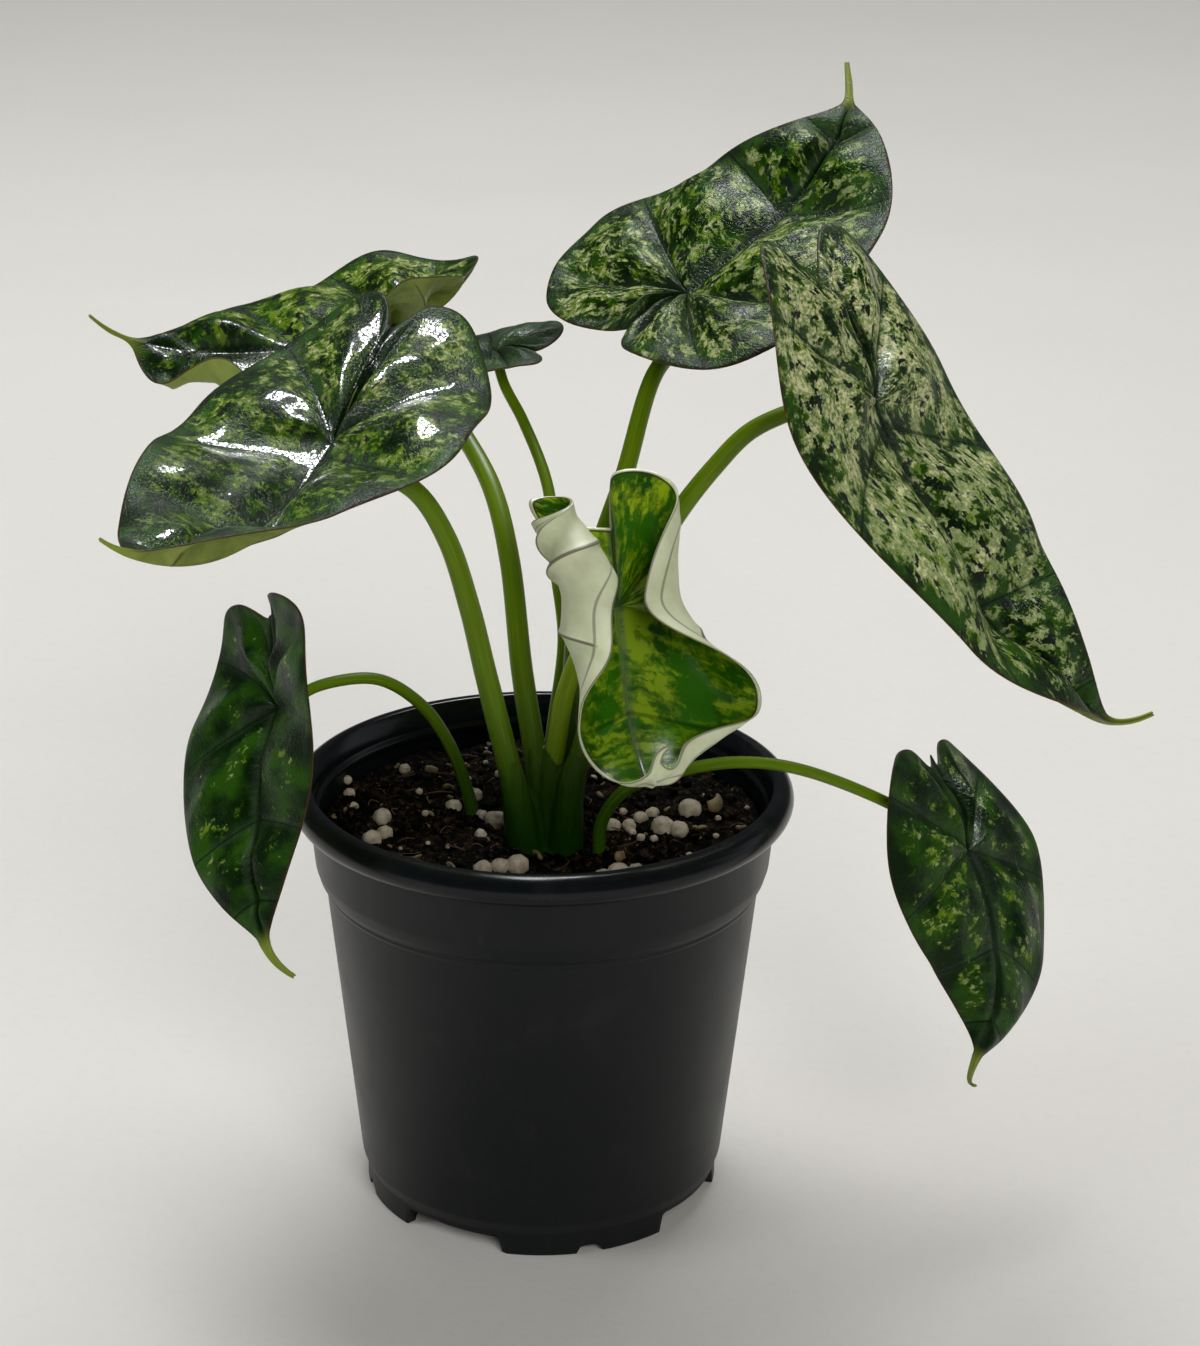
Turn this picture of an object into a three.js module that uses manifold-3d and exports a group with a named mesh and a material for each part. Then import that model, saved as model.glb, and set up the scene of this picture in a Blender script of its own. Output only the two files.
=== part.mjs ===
// Potted dragon scale alocasia: a black nursery pot of potting mix, a crown with sheathing stem bases,
// eight leaf stems and eight quilted, arrow-shaped blades, one of them still unrolling.
// Millimetres, +Z up. The plant is laid out round the pot's axis, with the floor at z = 0, and is then
// centred as a whole on its own footprint.
import * as THREE from "three";
import { mergeVertices } from "three/addons/utils/BufferGeometryUtils.js";
import Module from "manifold-3d";

// Driving dimensions of the pot
const POT_HEIGHT = 107;
const RIM_RADIUS = 61;
const RIM_ROLL = 3.7; // radius of the rolled lip's outer bend
const COLLAR_TOP_RADIUS = 56.6;
const COLLAR_TOP = 99;
const COLLAR_FOOT_RADIUS = 55.4;
const COLLAR_FOOT = 87;
const BODY_TOP_RADIUS = 53;
const BODY_TOP = 82;
const BODY_FOOT_RADIUS = 45.2;
const BODY_FOOT = 9;
const LIP_ARC = [-55, 110]; // degrees of the bend, from under the lip to its inside
const LIP_STEPS = 7;
const LEDGE_RADIUS = 54.2; // the thin ledge inside the lip
const LEDGE_THICK = 1;
const WALL = 1.6;
const FOOT_HEIGHT = 6;
const FOOT_RADIUS = 43.9;
const FOOT_THICK = 2.6;
const FLOOR_BOTTOM = 3;
const FLOOR_TOP = 5;
const POT_SIDES = 56;
const NOTCH_GROUPS = 4; // a wide and a narrow notch each
const NARROW_NOTCH_DEG = 8;
const NARROW_NOTCH_HEIGHT = 2.2;
const WIDE_NOTCH_DEG = 36;
const WIDE_NOTCH_HEIGHT = 5;
const NARROW_NOTCH_AT_DEG = -74.5;
const WIDE_NOTCH_AT_DEG = -30.5;
const DRAIN_HOLE_RADIUS = 4;
const DRAIN_HOLE_SIDES = 12;
const DRAIN_HOLES_AT = 30; // distance of the drain holes from the axis

// Driving dimensions of what the pot holds
const GAP = 0.3; // running gap between pieces that touch
const SOIL_TOP = 95.5;
const SOIL_LUMP = 0.9;
const SOIL_RINGS = 8;
const SOIL_SIDES = 36;
const BEAD_COUNT = 46;
const BEAD_RADIUS = [1.5, 2.8];
const BEAD_REACH = 49.5; // radius of the bed that the beads are spread over
const BEAD_FLATNESS = 0.8;
const BEAD_RISE = 0.1; // height of a bead's middle over the mix, as a share of its radius
const BEAD_CLEARANCE = 2.5; // kept free round the crown and the thin stems
const CROWN_AT = [1, -9];
const CROWN_RADIUS = 12.5;
const CROWN_FOOT = 66;
const CROWN_SHOULDER = 78; // height below which the corm tapers to its foot
const CROWN_TOP = 99;
const CROWN_SIDES = 20;
const STEM_START = 122; // height at which a sheathing base passes into its free stem
const SHEATH_RADIUS = 5.6;
const SHEATH_SPREAD = 0.45; // place of a sheath's root between the crown's axis and its stem
const SHEATH_ROOT_Z = 90;
const SHEATH_STRAIGHT = 9; // length below its end over which a sheath runs in line with its stem
const SHEATH_SIDES = 10;
const SHEATH_RINGS = 6;
const ROOT_DEPTH = 16; // how far a thin stem stands in the soil

// Driving dimensions of stems and blades
const STEM_SIDES = 8;
const STEM_STEP = 9; // spacing of the rings along a stem
const BLADE_THICKNESS = 0.8;
const QUILT_HEIGHT = 3; // how far the blade puffs up between its side veins
const RIB_BOW = 0.12; // bow of a side vein, as a share of its length
const RIB_SLANT = 0.45; // how far ahead of its start a side vein ends, as a share of its reach
const SINUS_SLIT = 0.5; // least distance of a lobe's edge from the midrib line
const CURL_SAMPLES = 14;
const MIDRIB_STEP = 1;
const DRIP_FROM = 0.97; // share of the front's length where the drip tip's turn begins
const STALK_DEPTH = 2.5; // how far under the blade a stem straightens to meet it

// Each blade is set by its flat outline in mm, by how its midrib and sides are bent in degrees, and by
// its pose. Lists of four are values at the lobe's end, the stalk, half way to the tip, and the tip.
// Pairs are the left and the right side, seen from above with the tip pointing away.
const LEAVES = {
  top: {
    at: [35, 41, 217], heading: 24, pitch: 31, roll: 7,
    front: 70, back: 27, half: 44, sinus: 0.55,
    arch: [30, 14], archPower: 2, sweep: 46, twist: 19,
    fold: [4, 5, 6, 29], curl: [[30, 4, -43, -8], [-16, -3, 14, -1]], drip: [13, 0, -2],
    stem: [[7, -6.5], [8, -5, 147], [13, 0, 165], [19, 8, 181], [26, 23, 201], [34, 38, 208]],
    stemRadius: [2.7, 1.9],
  },
  right: {
    at: [75, -16, 206], heading: -35, pitch: -61, roll: -7,
    front: 104, back: 42, half: 40, sinus: 0.68,
    arch: [-10, 11], sweep: 63, twist: 3,
    fold: [6, -1, 23, 62], curl: [[-26, 8, -27, 1], [8, -5, -32, 3]], drip: [13, 28, 10],
    stem: [
      [9.5, -17], [13, -17, 134], [17, -16, 147], [22, -15, 163], [31, -14, 179], [39, -14, 190],
      [47, -15, 199], [57, -15, 204], [66, -12, 206],
    ],
    stemRadius: [2.8, 1.8],
  },
  front: {
    at: [-47, -36, 202], heading: 250, pitch: -22, roll: -2,
    front: 91, back: 49, half: 35, sinus: 0.8,
    arch: [19, 50], archPower: 1.2, sweep: -18, twist: 5,
    fold: [-20, 12, 27, 45], curl: [[-25, -3, -19, -2], [18, -15, 30, 1]], drip: [7, 5, -40],
    dip: [[0, 0, 0, 0], [0, 0, 0, -38]], full: [1, 1.5], wide: [0.95, 0.93],
    lobe: [1, 1.02], splay: [-0.08, -0.1],
    stem: [
      [-9, -18.5], [-13.5, -20, 142], [-17, -23, 159], [-22, -27, 177], [-29, -32, 190],
      [-39, -34, 196],
    ],
    stemRadius: [2.9, 2],
  },
  left: {
    at: [-38, 61, 204], heading: 184, pitch: -17, roll: 7,
    front: 66, back: 29, half: 47, sinus: 0.6,
    arch: [60, 36], sweep: 16, twist: -14,
    fold: [-6, 2, 17, 0], curl: [[50, 22, 124, 590], [45, 42, -36, -1]], curlPower: 1.5,
    dip: [[0, 0, -62, -65], [0, 0, 0, 5]], drip: [12, 24, 4],
    full: [1.35, 1], wide: [1.18, 0.97], lobe: [0.82, 0.88],
    stem: [[-2.5, -11], [-5, -9, 138], [-8, -1, 163], [-12, 11, 176], [-18, 24, 184], [-30, 45, 195]],
    stemRadius: [2.8, 1.9],
  },
  back: {
    at: [-12, 60, 197], heading: 158, pitch: -6, roll: -9,
    front: 44, back: 15, half: 18, sinus: 0.5,
    arch: [0, 0], sweep: 0, twist: 15,
    fold: [10, 2, -6, 0], curl: [[23, 14, 1, 0], [-17, -9, -5, 0]], drip: [8, 57, 0],
    stem: [[2.6, -2.5], [5, 7, 140], [3, 17, 155], [1, 31, 171], [-5, 46, 183], [-10, 56, 190]],
    stemRadius: [1.7, 1.3],
  },
  young: {
    at: [17, -28, 161], heading: -78, pitch: -62, roll: 0,
    front: 58, back: 32, half: 36, sinus: 0.57,
    arch: [10, 150], archPower: 3.3, sweep: 3, twist: 0,
    fold: [0, 0, 0, 0], curl: [[262, 212, 60, 420], [230, 215, 140, 90]], curlPower: 1,
    flat: [[0.25, 0.15, 0.3, 0], [0.45, 0.22, 0, 0]], drip: [8, 30, -30],
    full: [1.5, 0.95], wide: [0.95, 1], lobe: [0.98, 0.82], splay: [-0.3, 0.95], quilt: 0.4,
    rows: [0, 0.16, 0.32, 0.46, 0.58, 0.7, 0.8, 0.9, 1],
    stem: [[3.2, -14.5], [5, -15.5, 134], [9, -18, 147], [13, -19, 154]],
    stemRadius: [2.5, 1.8],
  },
  low_left: {
    at: [-62, -15, 131], heading: 257, pitch: -45, roll: 48,
    front: 60, back: 29, half: 30, sinus: 0.8,
    arch: [67, -15], sweep: 18, twist: -27,
    fold: [4, 16, 12, 17], curl: [[11, 3, -4, 0], [42, -1, -15, 1]], drip: [10, -60, 9],
    root: [-17, 4],
    stem: [
      [-19, 3, 104], [-23, 1, 116], [-29, -1, 126], [-39, -7, 135], [-49, -11, 136],
      [-56, -13, 134],
    ],
    stemRadius: [1.7, 1.3],
  },
  low_right: {
    at: [103, -8, 91], heading: -51, pitch: -56, roll: -17,
    front: 52, back: 28, half: 29, sinus: 0.9,
    arch: [2, -30], sweep: -48, twist: 19,
    fold: [-5, -2, -10, -32], curl: [[13, 19, 10, -1], [0, -26, 4, 0]], drip: [13, 86, -16],
    root: [13.5, -19.5],
    stem: [
      [14, -20, 104], [20, -21, 113], [34, -21, 118], [47, -19, 119], [60, -18, 117],
      [82, -12, 106], [94, -8, 97],
    ],
    stemRadius: [1.6, 1.3],
  },
};

// Flat outline of a half blade: shares of the lobe's length behind the stalk (negative) or of the
// length in front of it, and shares of the half width, from the sinus round the lobe towards the tip.
const OUTLINE = [
  [-0.5, 0], [-0.8, 0.09], [-0.99, 0.34], [-0.95, 0.64], [-0.58, 0.9],
  [0, 1], [0.29, 0.9], [0.56, 0.65], [0.79, 0.33], [0.94, 0.09],
];
const DRIP_HALF_WIDTHS = [1.3, 0.8, 0.45];
// Places along the outline of the side veins, and of the crests between them
const VEINS = [0.14, 0.32, 0.48, 0.6, 0.7, 0.8, 0.89];
const COLUMNS = [
  0, 0.07, 0.14, 0.23, 0.32, 0.4, 0.48, 0.54, 0.6, 0.65, 0.7, 0.75, 0.8, 0.845, 0.89, 0.95, 1,
];
const ROWS = [0, 0.2, 0.45, 0.72, 0.9, 1];

const wasm = await Module();
wasm.setup();

const rad = THREE.MathUtils.degToRad;
const clamp = THREE.MathUtils.clamp;
const lerp = THREE.MathUtils.lerp;

function randomFrom(seed) {
  let state = seed;
  return () => {
    state = (state * 1664525 + 1013904223) % 4294967296;
    return state / 4294967296;
  };
}

// Solids
function solidOf(geometry) {
  const bare = new THREE.BufferGeometry().setAttribute("position", geometry.getAttribute("position"));
  bare.setIndex(geometry.index);
  const merged = mergeVertices(bare, 1e-3);
  const mesh = new wasm.Mesh({
    numProp: 3,
    vertProperties: new Float32Array(merged.attributes.position.array),
    triVerts: new Uint32Array(merged.index.array),
  });
  return new wasm.Manifold(mesh);
}

function geometryOf(solid) {
  const mesh = solid.getMesh();
  const geometry = new THREE.BufferGeometry();
  geometry.setAttribute("position", new THREE.BufferAttribute(new Float32Array(mesh.vertProperties), 3));
  geometry.setIndex(new THREE.BufferAttribute(new Uint32Array(mesh.triVerts), 1));
  geometry.computeVertexNormals();
  return geometry;
}

// A closed shell from points and triangles, without the triangles that have shrunk to a line
function shellOf(points, triangles) {
  const keys = points.map((p) => p.toArray().map((c) => c.toFixed(3)).join());
  const first = new Map();
  keys.forEach((key, i) => {
    if (!first.has(key)) first.set(key, i);
  });
  const same = keys.map((key) => first.get(key));
  const faces = triangles
    .map((face) => face.map((i) => same[i]))
    .filter(([a, b, c]) => a !== b && b !== c && c !== a);
  const geometry = new THREE.BufferGeometry().setFromPoints(points);
  geometry.setIndex(faces.flat());
  geometry.computeVertexNormals();
  return geometry;
}

// A round profile of [radius, height] pairs, given upwards along its outside
function turned(profile, sides) {
  const points = profile.map(([r, z]) => new THREE.Vector2(r, z));
  return new THREE.LatheGeometry(points, sides).rotateX(Math.PI / 2);
}

function uprightCylinder(radius, bottom, top, sides, x = 0, y = 0) {
  return turned([[0, bottom], [radius, bottom], [radius, top], [0, top]], sides).translate(x, y, 0);
}

// A tube of round rings, square to the curve, with a radius that varies along it
function taperedTube(curve, radiusAt, sides, rings) {
  const frames = curve.computeFrenetFrames(rings, false);
  const points = [];
  const triangles = [];
  for (let i = 0; i <= rings; i++) {
    const centre = curve.getPointAt(i / rings);
    for (let j = 0; j < sides; j++) {
      const angle = (2 * Math.PI * j) / sides;
      const r = radiusAt(i / rings);
      points.push(
        centre
          .clone()
          .addScaledVector(frames.normals[i], r * Math.cos(angle))
          .addScaledVector(frames.binormals[i], r * Math.sin(angle)),
      );
    }
  }
  for (let i = 0; i < rings; i++) {
    for (let j = 0; j < sides; j++) {
      const a = i * sides + j;
      const b = i * sides + ((j + 1) % sides);
      triangles.push([a, b, a + sides], [b, b + sides, a + sides]);
    }
  }
  const last = rings * sides;
  for (let j = 1; j < sides - 1; j++) {
    triangles.push([0, j + 1, j], [last, last + j, last + j + 1]);
  }
  return shellOf(points, triangles);
}

// Pot
function arc(centreR, centreZ, radius, fromDeg, toDeg, steps) {
  return Array.from({ length: steps + 1 }, (_, i) => {
    const angle = rad(lerp(fromDeg, toDeg, i / steps));
    return [centreR + radius * Math.cos(angle), centreZ + radius * Math.sin(angle)];
  });
}

function potProfile() {
  const lipCentre = [RIM_RADIUS - RIM_ROLL, POT_HEIGHT - RIM_ROLL];
  return [
    [0, FLOOR_BOTTOM],
    [FOOT_RADIUS - FOOT_THICK, FLOOR_BOTTOM],
    [FOOT_RADIUS - FOOT_THICK, 0],
    [FOOT_RADIUS, 0],
    [FOOT_RADIUS, FOOT_HEIGHT],
    [BODY_FOOT_RADIUS, BODY_FOOT],
    [BODY_TOP_RADIUS, BODY_TOP],
    [lerp(BODY_TOP_RADIUS, COLLAR_FOOT_RADIUS, 0.6), lerp(BODY_TOP, COLLAR_FOOT, 0.35)],
    [COLLAR_FOOT_RADIUS, COLLAR_FOOT],
    [COLLAR_TOP_RADIUS, COLLAR_TOP],
    ...arc(...lipCentre, RIM_ROLL, ...LIP_ARC, LIP_STEPS),
    [LEDGE_RADIUS + LEDGE_THICK, COLLAR_TOP + 2 * LEDGE_THICK],
    [LEDGE_RADIUS, COLLAR_TOP + LEDGE_THICK],
    [LEDGE_RADIUS, COLLAR_TOP],
    [COLLAR_TOP_RADIUS - WALL, COLLAR_TOP - LEDGE_THICK],
    [COLLAR_FOOT_RADIUS - WALL, COLLAR_FOOT],
    [BODY_TOP_RADIUS - WALL, BODY_TOP],
    [BODY_FOOT_RADIUS - WALL, BODY_FOOT],
    [BODY_FOOT_RADIUS - 2 * WALL, FLOOR_TOP],
    [0, FLOOR_TOP],
  ];
}

// An upright block that cuts the foot ring over an angle, up to a height, seen from the axis
function notchCutter(centreDeg, widthDeg, height) {
  const near = FOOT_RADIUS - FOOT_THICK;
  const far = RIM_RADIUS;
  const spread = Math.tan(rad(widthDeg / 2));
  const corners = [[near, -near * spread], [far, -far * spread], [far, far * spread], [near, near * spread]];
  const shape = new THREE.Shape(corners.map(([x, y]) => new THREE.Vector2(x, y)));
  const block = new THREE.ExtrudeGeometry(shape, { depth: height + 1, bevelEnabled: false });
  return solidOf(block.translate(0, 0, -1).rotateZ(rad(centreDeg)));
}

function makePot() {
  let pot = solidOf(turned(potProfile(), POT_SIDES));
  for (let i = 0; i < NOTCH_GROUPS; i++) {
    const turn = (360 / NOTCH_GROUPS) * i;
    const narrow = NARROW_NOTCH_AT_DEG + turn;
    const wide = WIDE_NOTCH_AT_DEG + turn;
    const hole = uprightCylinder(DRAIN_HOLE_RADIUS, 0, FLOOR_TOP + 1, DRAIN_HOLE_SIDES, DRAIN_HOLES_AT);
    pot = pot
      .subtract(notchCutter(narrow, NARROW_NOTCH_DEG, NARROW_NOTCH_HEIGHT))
      .subtract(notchCutter(wide, WIDE_NOTCH_DEG, WIDE_NOTCH_HEIGHT))
      .subtract(solidOf(hole.rotateZ(rad(wide))));
  }
  return geometryOf(pot);
}

// Soil
function soilHeight(x, y) {
  const wave = Math.sin(0.16 * x + 1.3) * Math.cos(0.14 * y - 0.4) + 0.5 * Math.sin(0.22 * x - 0.19 * y);
  return SOIL_TOP + SOIL_LUMP * wave;
}

function soilBody() {
  const inset = WALL + GAP;
  const topRadius = COLLAR_FOOT_RADIUS - inset;
  const profile = [
    [0, FLOOR_TOP + GAP],
    [BODY_FOOT_RADIUS - WALL - inset, FLOOR_TOP + GAP],
    [BODY_FOOT_RADIUS - inset, BODY_FOOT + GAP],
    [BODY_TOP_RADIUS - inset, BODY_TOP + GAP],
    [topRadius, COLLAR_FOOT + GAP],
  ];
  for (let i = 0; i <= SOIL_RINGS; i++) {
    profile.push([topRadius * (1 - i / SOIL_RINGS), SOIL_TOP]);
  }
  const body = turned(profile, SOIL_SIDES);
  const position = body.getAttribute("position");
  for (let i = 0; i < position.count; i++) {
    if (position.getZ(i) > SOIL_TOP - 0.01) {
      position.setZ(i, soilHeight(position.getX(i), position.getY(i)));
    }
  }
  return solidOf(body);
}

// Beads of perlite lie on a sunflower spiral, jittered, and are sunk nearly half into the mix
function soilBeads() {
  const random = randomFrom(11);
  const golden = Math.PI * (3 - Math.sqrt(5));
  const roots = rootedLeaves().map((leaf) => leaf.root);
  const beads = [];
  for (let i = 0; i < BEAD_COUNT; i++) {
    const reach = BEAD_REACH * Math.sqrt((i + 0.5) / BEAD_COUNT);
    const turn = i * golden + 0.5 * random();
    const x = reach * Math.cos(turn);
    const y = reach * Math.sin(turn);
    const r = lerp(BEAD_RADIUS[0], BEAD_RADIUS[1], random());
    const nearCrown = Math.hypot(x - CROWN_AT[0], y - CROWN_AT[1]) < CROWN_RADIUS + r + BEAD_CLEARANCE;
    const nearRoot = roots.some((root) => Math.hypot(x - root[0], y - root[1]) < r + 2 * BEAD_CLEARANCE);
    if (nearCrown || nearRoot) continue;
    const bead = new THREE.IcosahedronGeometry(r, 0);
    bead.rotateX(Math.PI * random()).rotateZ(Math.PI * random()).scale(1, 1, BEAD_FLATNESS);
    beads.push(solidOf(bead.translate(x, y, soilHeight(x, y) + BEAD_RISE * r)));
  }
  return beads;
}

function rootedLeaves() {
  return Object.values(LEAVES).filter((leaf) => leaf.root);
}

function makeSoil() {
  let soil = soilBody();
  soilBeads().forEach((bead) => {
    soil = soil.add(bead);
  });
  const sky = SOIL_TOP + 10;
  const crownHole = uprightCylinder(CROWN_RADIUS + GAP, CROWN_FOOT - GAP, sky, CROWN_SIDES, ...CROWN_AT);
  soil = soil.subtract(solidOf(crownHole));
  rootedLeaves().forEach((leaf) => {
    const radius = leaf.stemRadius[0] + 2 * GAP;
    const hole = uprightCylinder(radius, SOIL_TOP - ROOT_DEPTH - GAP, sky, STEM_SIDES, ...leaf.root);
    soil = soil.subtract(solidOf(hole));
  });
  return geometryOf(soil);
}

// Crown: the rhizome, and the sheathing bases of the stems that rise from it
function stemStart(leaf) {
  const [x, y] = leaf.stem[0];
  return new THREE.Vector3(x, y, STEM_START);
}

function makeCrown() {
  const [cx, cy] = CROWN_AT;
  const body = turned(
    [
      [0, CROWN_FOOT],
      [CROWN_RADIUS / 2, CROWN_FOOT],
      [CROWN_RADIUS, CROWN_SHOULDER],
      [CROWN_RADIUS, SOIL_TOP - 1],
      [0.85 * CROWN_RADIUS, SOIL_TOP + 1],
      [0, CROWN_TOP],
    ],
    CROWN_SIDES,
  );
  let crown = solidOf(body.translate(cx, cy, 0));
  Object.values(LEAVES)
    .filter((leaf) => !leaf.root)
    .forEach((leaf) => {
      const end = stemStart(leaf);
      const root = new THREE.Vector3(cx, cy, SHEATH_ROOT_Z);
      root.lerp(new THREE.Vector3(end.x, end.y, SHEATH_ROOT_Z), SHEATH_SPREAD);
      const rise = new THREE.Vector3(...leaf.stem[1]).sub(end).normalize();
      const below = end.clone().addScaledVector(rise, -SHEATH_STRAIGHT);
      const top = end.clone().addScaledVector(rise, -GAP);
      const tip = leaf.stemRadius[0];
      const base = Math.min(SHEATH_RADIUS, 2 * tip);
      const curve = new THREE.CatmullRomCurve3([root, below, top]);
      const sheath = taperedTube(curve, (s) => lerp(base, tip, Math.sqrt(s)), SHEATH_SIDES, SHEATH_RINGS);
      crown = crown.add(solidOf(sheath));
    });
  return geometryOf(crown);
}

// Blades
function withDefaults(leaf) {
  const none = [[0, 0, 0, 0], [0, 0, 0, 0]];
  return {
    archPower: 1.5, curlPower: 2, dip: none, flat: none, full: [1, 1], wide: [1, 1],
    lobe: [1, 1], splay: [0, 0], quilt: 1, rows: ROWS, ...leaf,
  };
}

// The flat margin of one side at a share u of its length, from the sinus to the tip's end
function margin(leaf, side, u) {
  const width = leaf.half * leaf.wide[side];
  const points = OUTLINE.map(([x, y]) => {
    if (x < 0) {
      const out = y * width - x * leaf.back * leaf.splay[side];
      return [x * leaf.back * leaf.lobe[side], Math.max(SINUS_SLIT, out)];
    }
    const growth = x > 0.25 ? (leaf.full[side] - 1) * ((x - 0.25) / 0.6 + 0.1) : 0;
    return [x * leaf.front, y * width * (1 + growth)];
  });
  points[0] = [-leaf.sinus * leaf.back, 0];
  DRIP_HALF_WIDTHS.forEach((y, i) => points.push([leaf.front + (leaf.drip[0] * i) / 2, y]));
  const spans = points.length - 1;
  const i = clamp(Math.floor(u * spans), 0, spans - 1);
  const f = u * spans - i;
  const pick = (k, axis) => {
    if (k < 0) return 2 * points[0][axis] - points[1][axis];
    if (k > spans) return 2 * points[spans][axis] - points[spans - 1][axis];
    return points[k][axis];
  };
  return [0, 1].map((axis) => {
    const [p0, p1, p2, p3] = [-1, 0, 1, 2].map((k) => pick(i + k, axis));
    const bend = (2 * p0 - 5 * p1 + 4 * p2 - p3) * f * f + (3 * p1 - p0 - 3 * p2 + p3) * f ** 3;
    return 0.5 * (2 * p1 + (p2 - p0) * f + bend);
  });
}

// A value given at the lobe's end, the stalk, half way and the tip, eased between them
function station(leaf, values, x) {
  const at = [-leaf.back, 0, leaf.front / 2, leaf.front];
  const i = x >= at[2] ? 2 : x >= at[1] ? 1 : 0;
  return lerp(values[i], values[i + 1], THREE.MathUtils.smoothstep(x, at[i], at[i + 1]));
}

// The bent midrib: its point and the directions along it, across to the left, and up, at a place x
function midrib(leaf, x) {
  const reach = x < 0 ? -x / leaf.back : x / leaf.front;
  const [length, tipTurn, tipSwing] = leaf.drip;
  const intoDrip = (from) => clamp((x - from) / (leaf.front + length - from), 0, 1);
  const arch = x < 0 ? -leaf.arch[0] * reach ** 1.5 : leaf.arch[1] * Math.min(reach, 1) ** leaf.archPower;
  const rise = rad(arch + tipTurn * intoDrip(DRIP_FROM * leaf.front));
  const sweep = x < 0 ? 0 : leaf.sweep * Math.min(reach, 1.1) ** 2;
  const swing = rad(sweep + tipSwing * intoDrip(leaf.front));
  const along = new THREE.Vector3(
    Math.cos(rise) * Math.cos(swing),
    Math.cos(rise) * Math.sin(swing),
    Math.sin(rise),
  );
  const level = new THREE.Vector3(-Math.sin(swing), Math.cos(swing), 0);
  const twist = rad(leaf.twist * clamp(x / leaf.front, -0.5, 1));
  const across = level.clone().applyAxisAngle(along, twist);
  const up = new THREE.Vector3().crossVectors(along, across);
  return { along, across, up };
}

function midribPoint(leaf, x) {
  const steps = Math.max(1, Math.ceil(Math.abs(x) / MIDRIB_STEP));
  const point = new THREE.Vector3();
  for (let i = 0; i < steps; i++) {
    point.addScaledVector(midrib(leaf, (x * (i + 0.5)) / steps).along, x / steps);
  }
  return point;
}

// Takes a flat point of one side, with a height above the blade, to its place on the bent blade
function bent(leaf, side, x, y, height) {
  const { across, up } = midrib(leaf, x);
  const sign = side === 0 ? 1 : -1;
  const fold = station(leaf, leaf.fold, x) + station(leaf, leaf.dip[side], x);
  const curl = station(leaf, leaf.curl[side], x);
  const flat = station(leaf, leaf.flat[side], x);
  const slope = (share) => {
    const beyond = Math.max(0, ((share * y) / leaf.half - flat) / (1 - flat));
    return rad(fold + curl * beyond ** leaf.curlPower);
  };
  let out = 0;
  let lift = 0;
  for (let i = 0; i < CURL_SAMPLES; i++) {
    const angle = slope((i + 0.5) / CURL_SAMPLES);
    out += (Math.cos(angle) * y) / CURL_SAMPLES;
    lift += (Math.sin(angle) * y) / CURL_SAMPLES;
  }
  const edge = y > 0 ? slope(1) : 0;
  const normal = up.clone().multiplyScalar(Math.cos(edge)).addScaledVector(across, -sign * Math.sin(edge));
  return midribPoint(leaf, x)
    .addScaledVector(across, sign * out)
    .addScaledVector(up, lift)
    .addScaledVector(normal, height);
}

// How far the blade puffs up at margin share u and rib share v
function quilting(leaf, u, v) {
  const stops = [0, ...VEINS, 1];
  const i = clamp(stops.findIndex((stop) => stop > u) - 1, 0, stops.length - 2);
  const share = clamp((u - stops[i]) / (stops[i + 1] - stops[i]), 0, 1);
  const across = Math.sin(Math.PI * share) ** 0.6;
  const along = Math.sin(Math.PI * Math.min(1, v) ** 0.8) ** 0.7;
  const ends = THREE.MathUtils.smoothstep(u, 0, 0.1) * (1 - THREE.MathUtils.smoothstep(u, 0.88, 0.97));
  return QUILT_HEIGHT * leaf.quilt * (leaf.half / 40) * across * along * ends;
}

function pose(leaf) {
  const heading = rad(leaf.heading);
  const pitch = rad(leaf.pitch);
  const along = new THREE.Vector3(
    Math.cos(pitch) * Math.cos(heading),
    Math.cos(pitch) * Math.sin(heading),
    Math.sin(pitch),
  );
  const level = new THREE.Vector3(-Math.sin(heading), Math.cos(heading), 0);
  const across = level.applyAxisAngle(along, rad(leaf.roll));
  const up = new THREE.Vector3().crossVectors(along, across);
  return new THREE.Matrix4().makeBasis(along, across, up).setPosition(...leaf.at);
}

// Where the ribs of both sides that end at margin share u leave the midrib
function ribStart(leaf, u) {
  const [left, right] = [0, 1].map((side) => margin(leaf, side, u));
  const starts = [left, right].map(([x, y]) => x - RIB_SLANT * y);
  return Math.max(0, (starts[0] + starts[1]) / 2);
}

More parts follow.
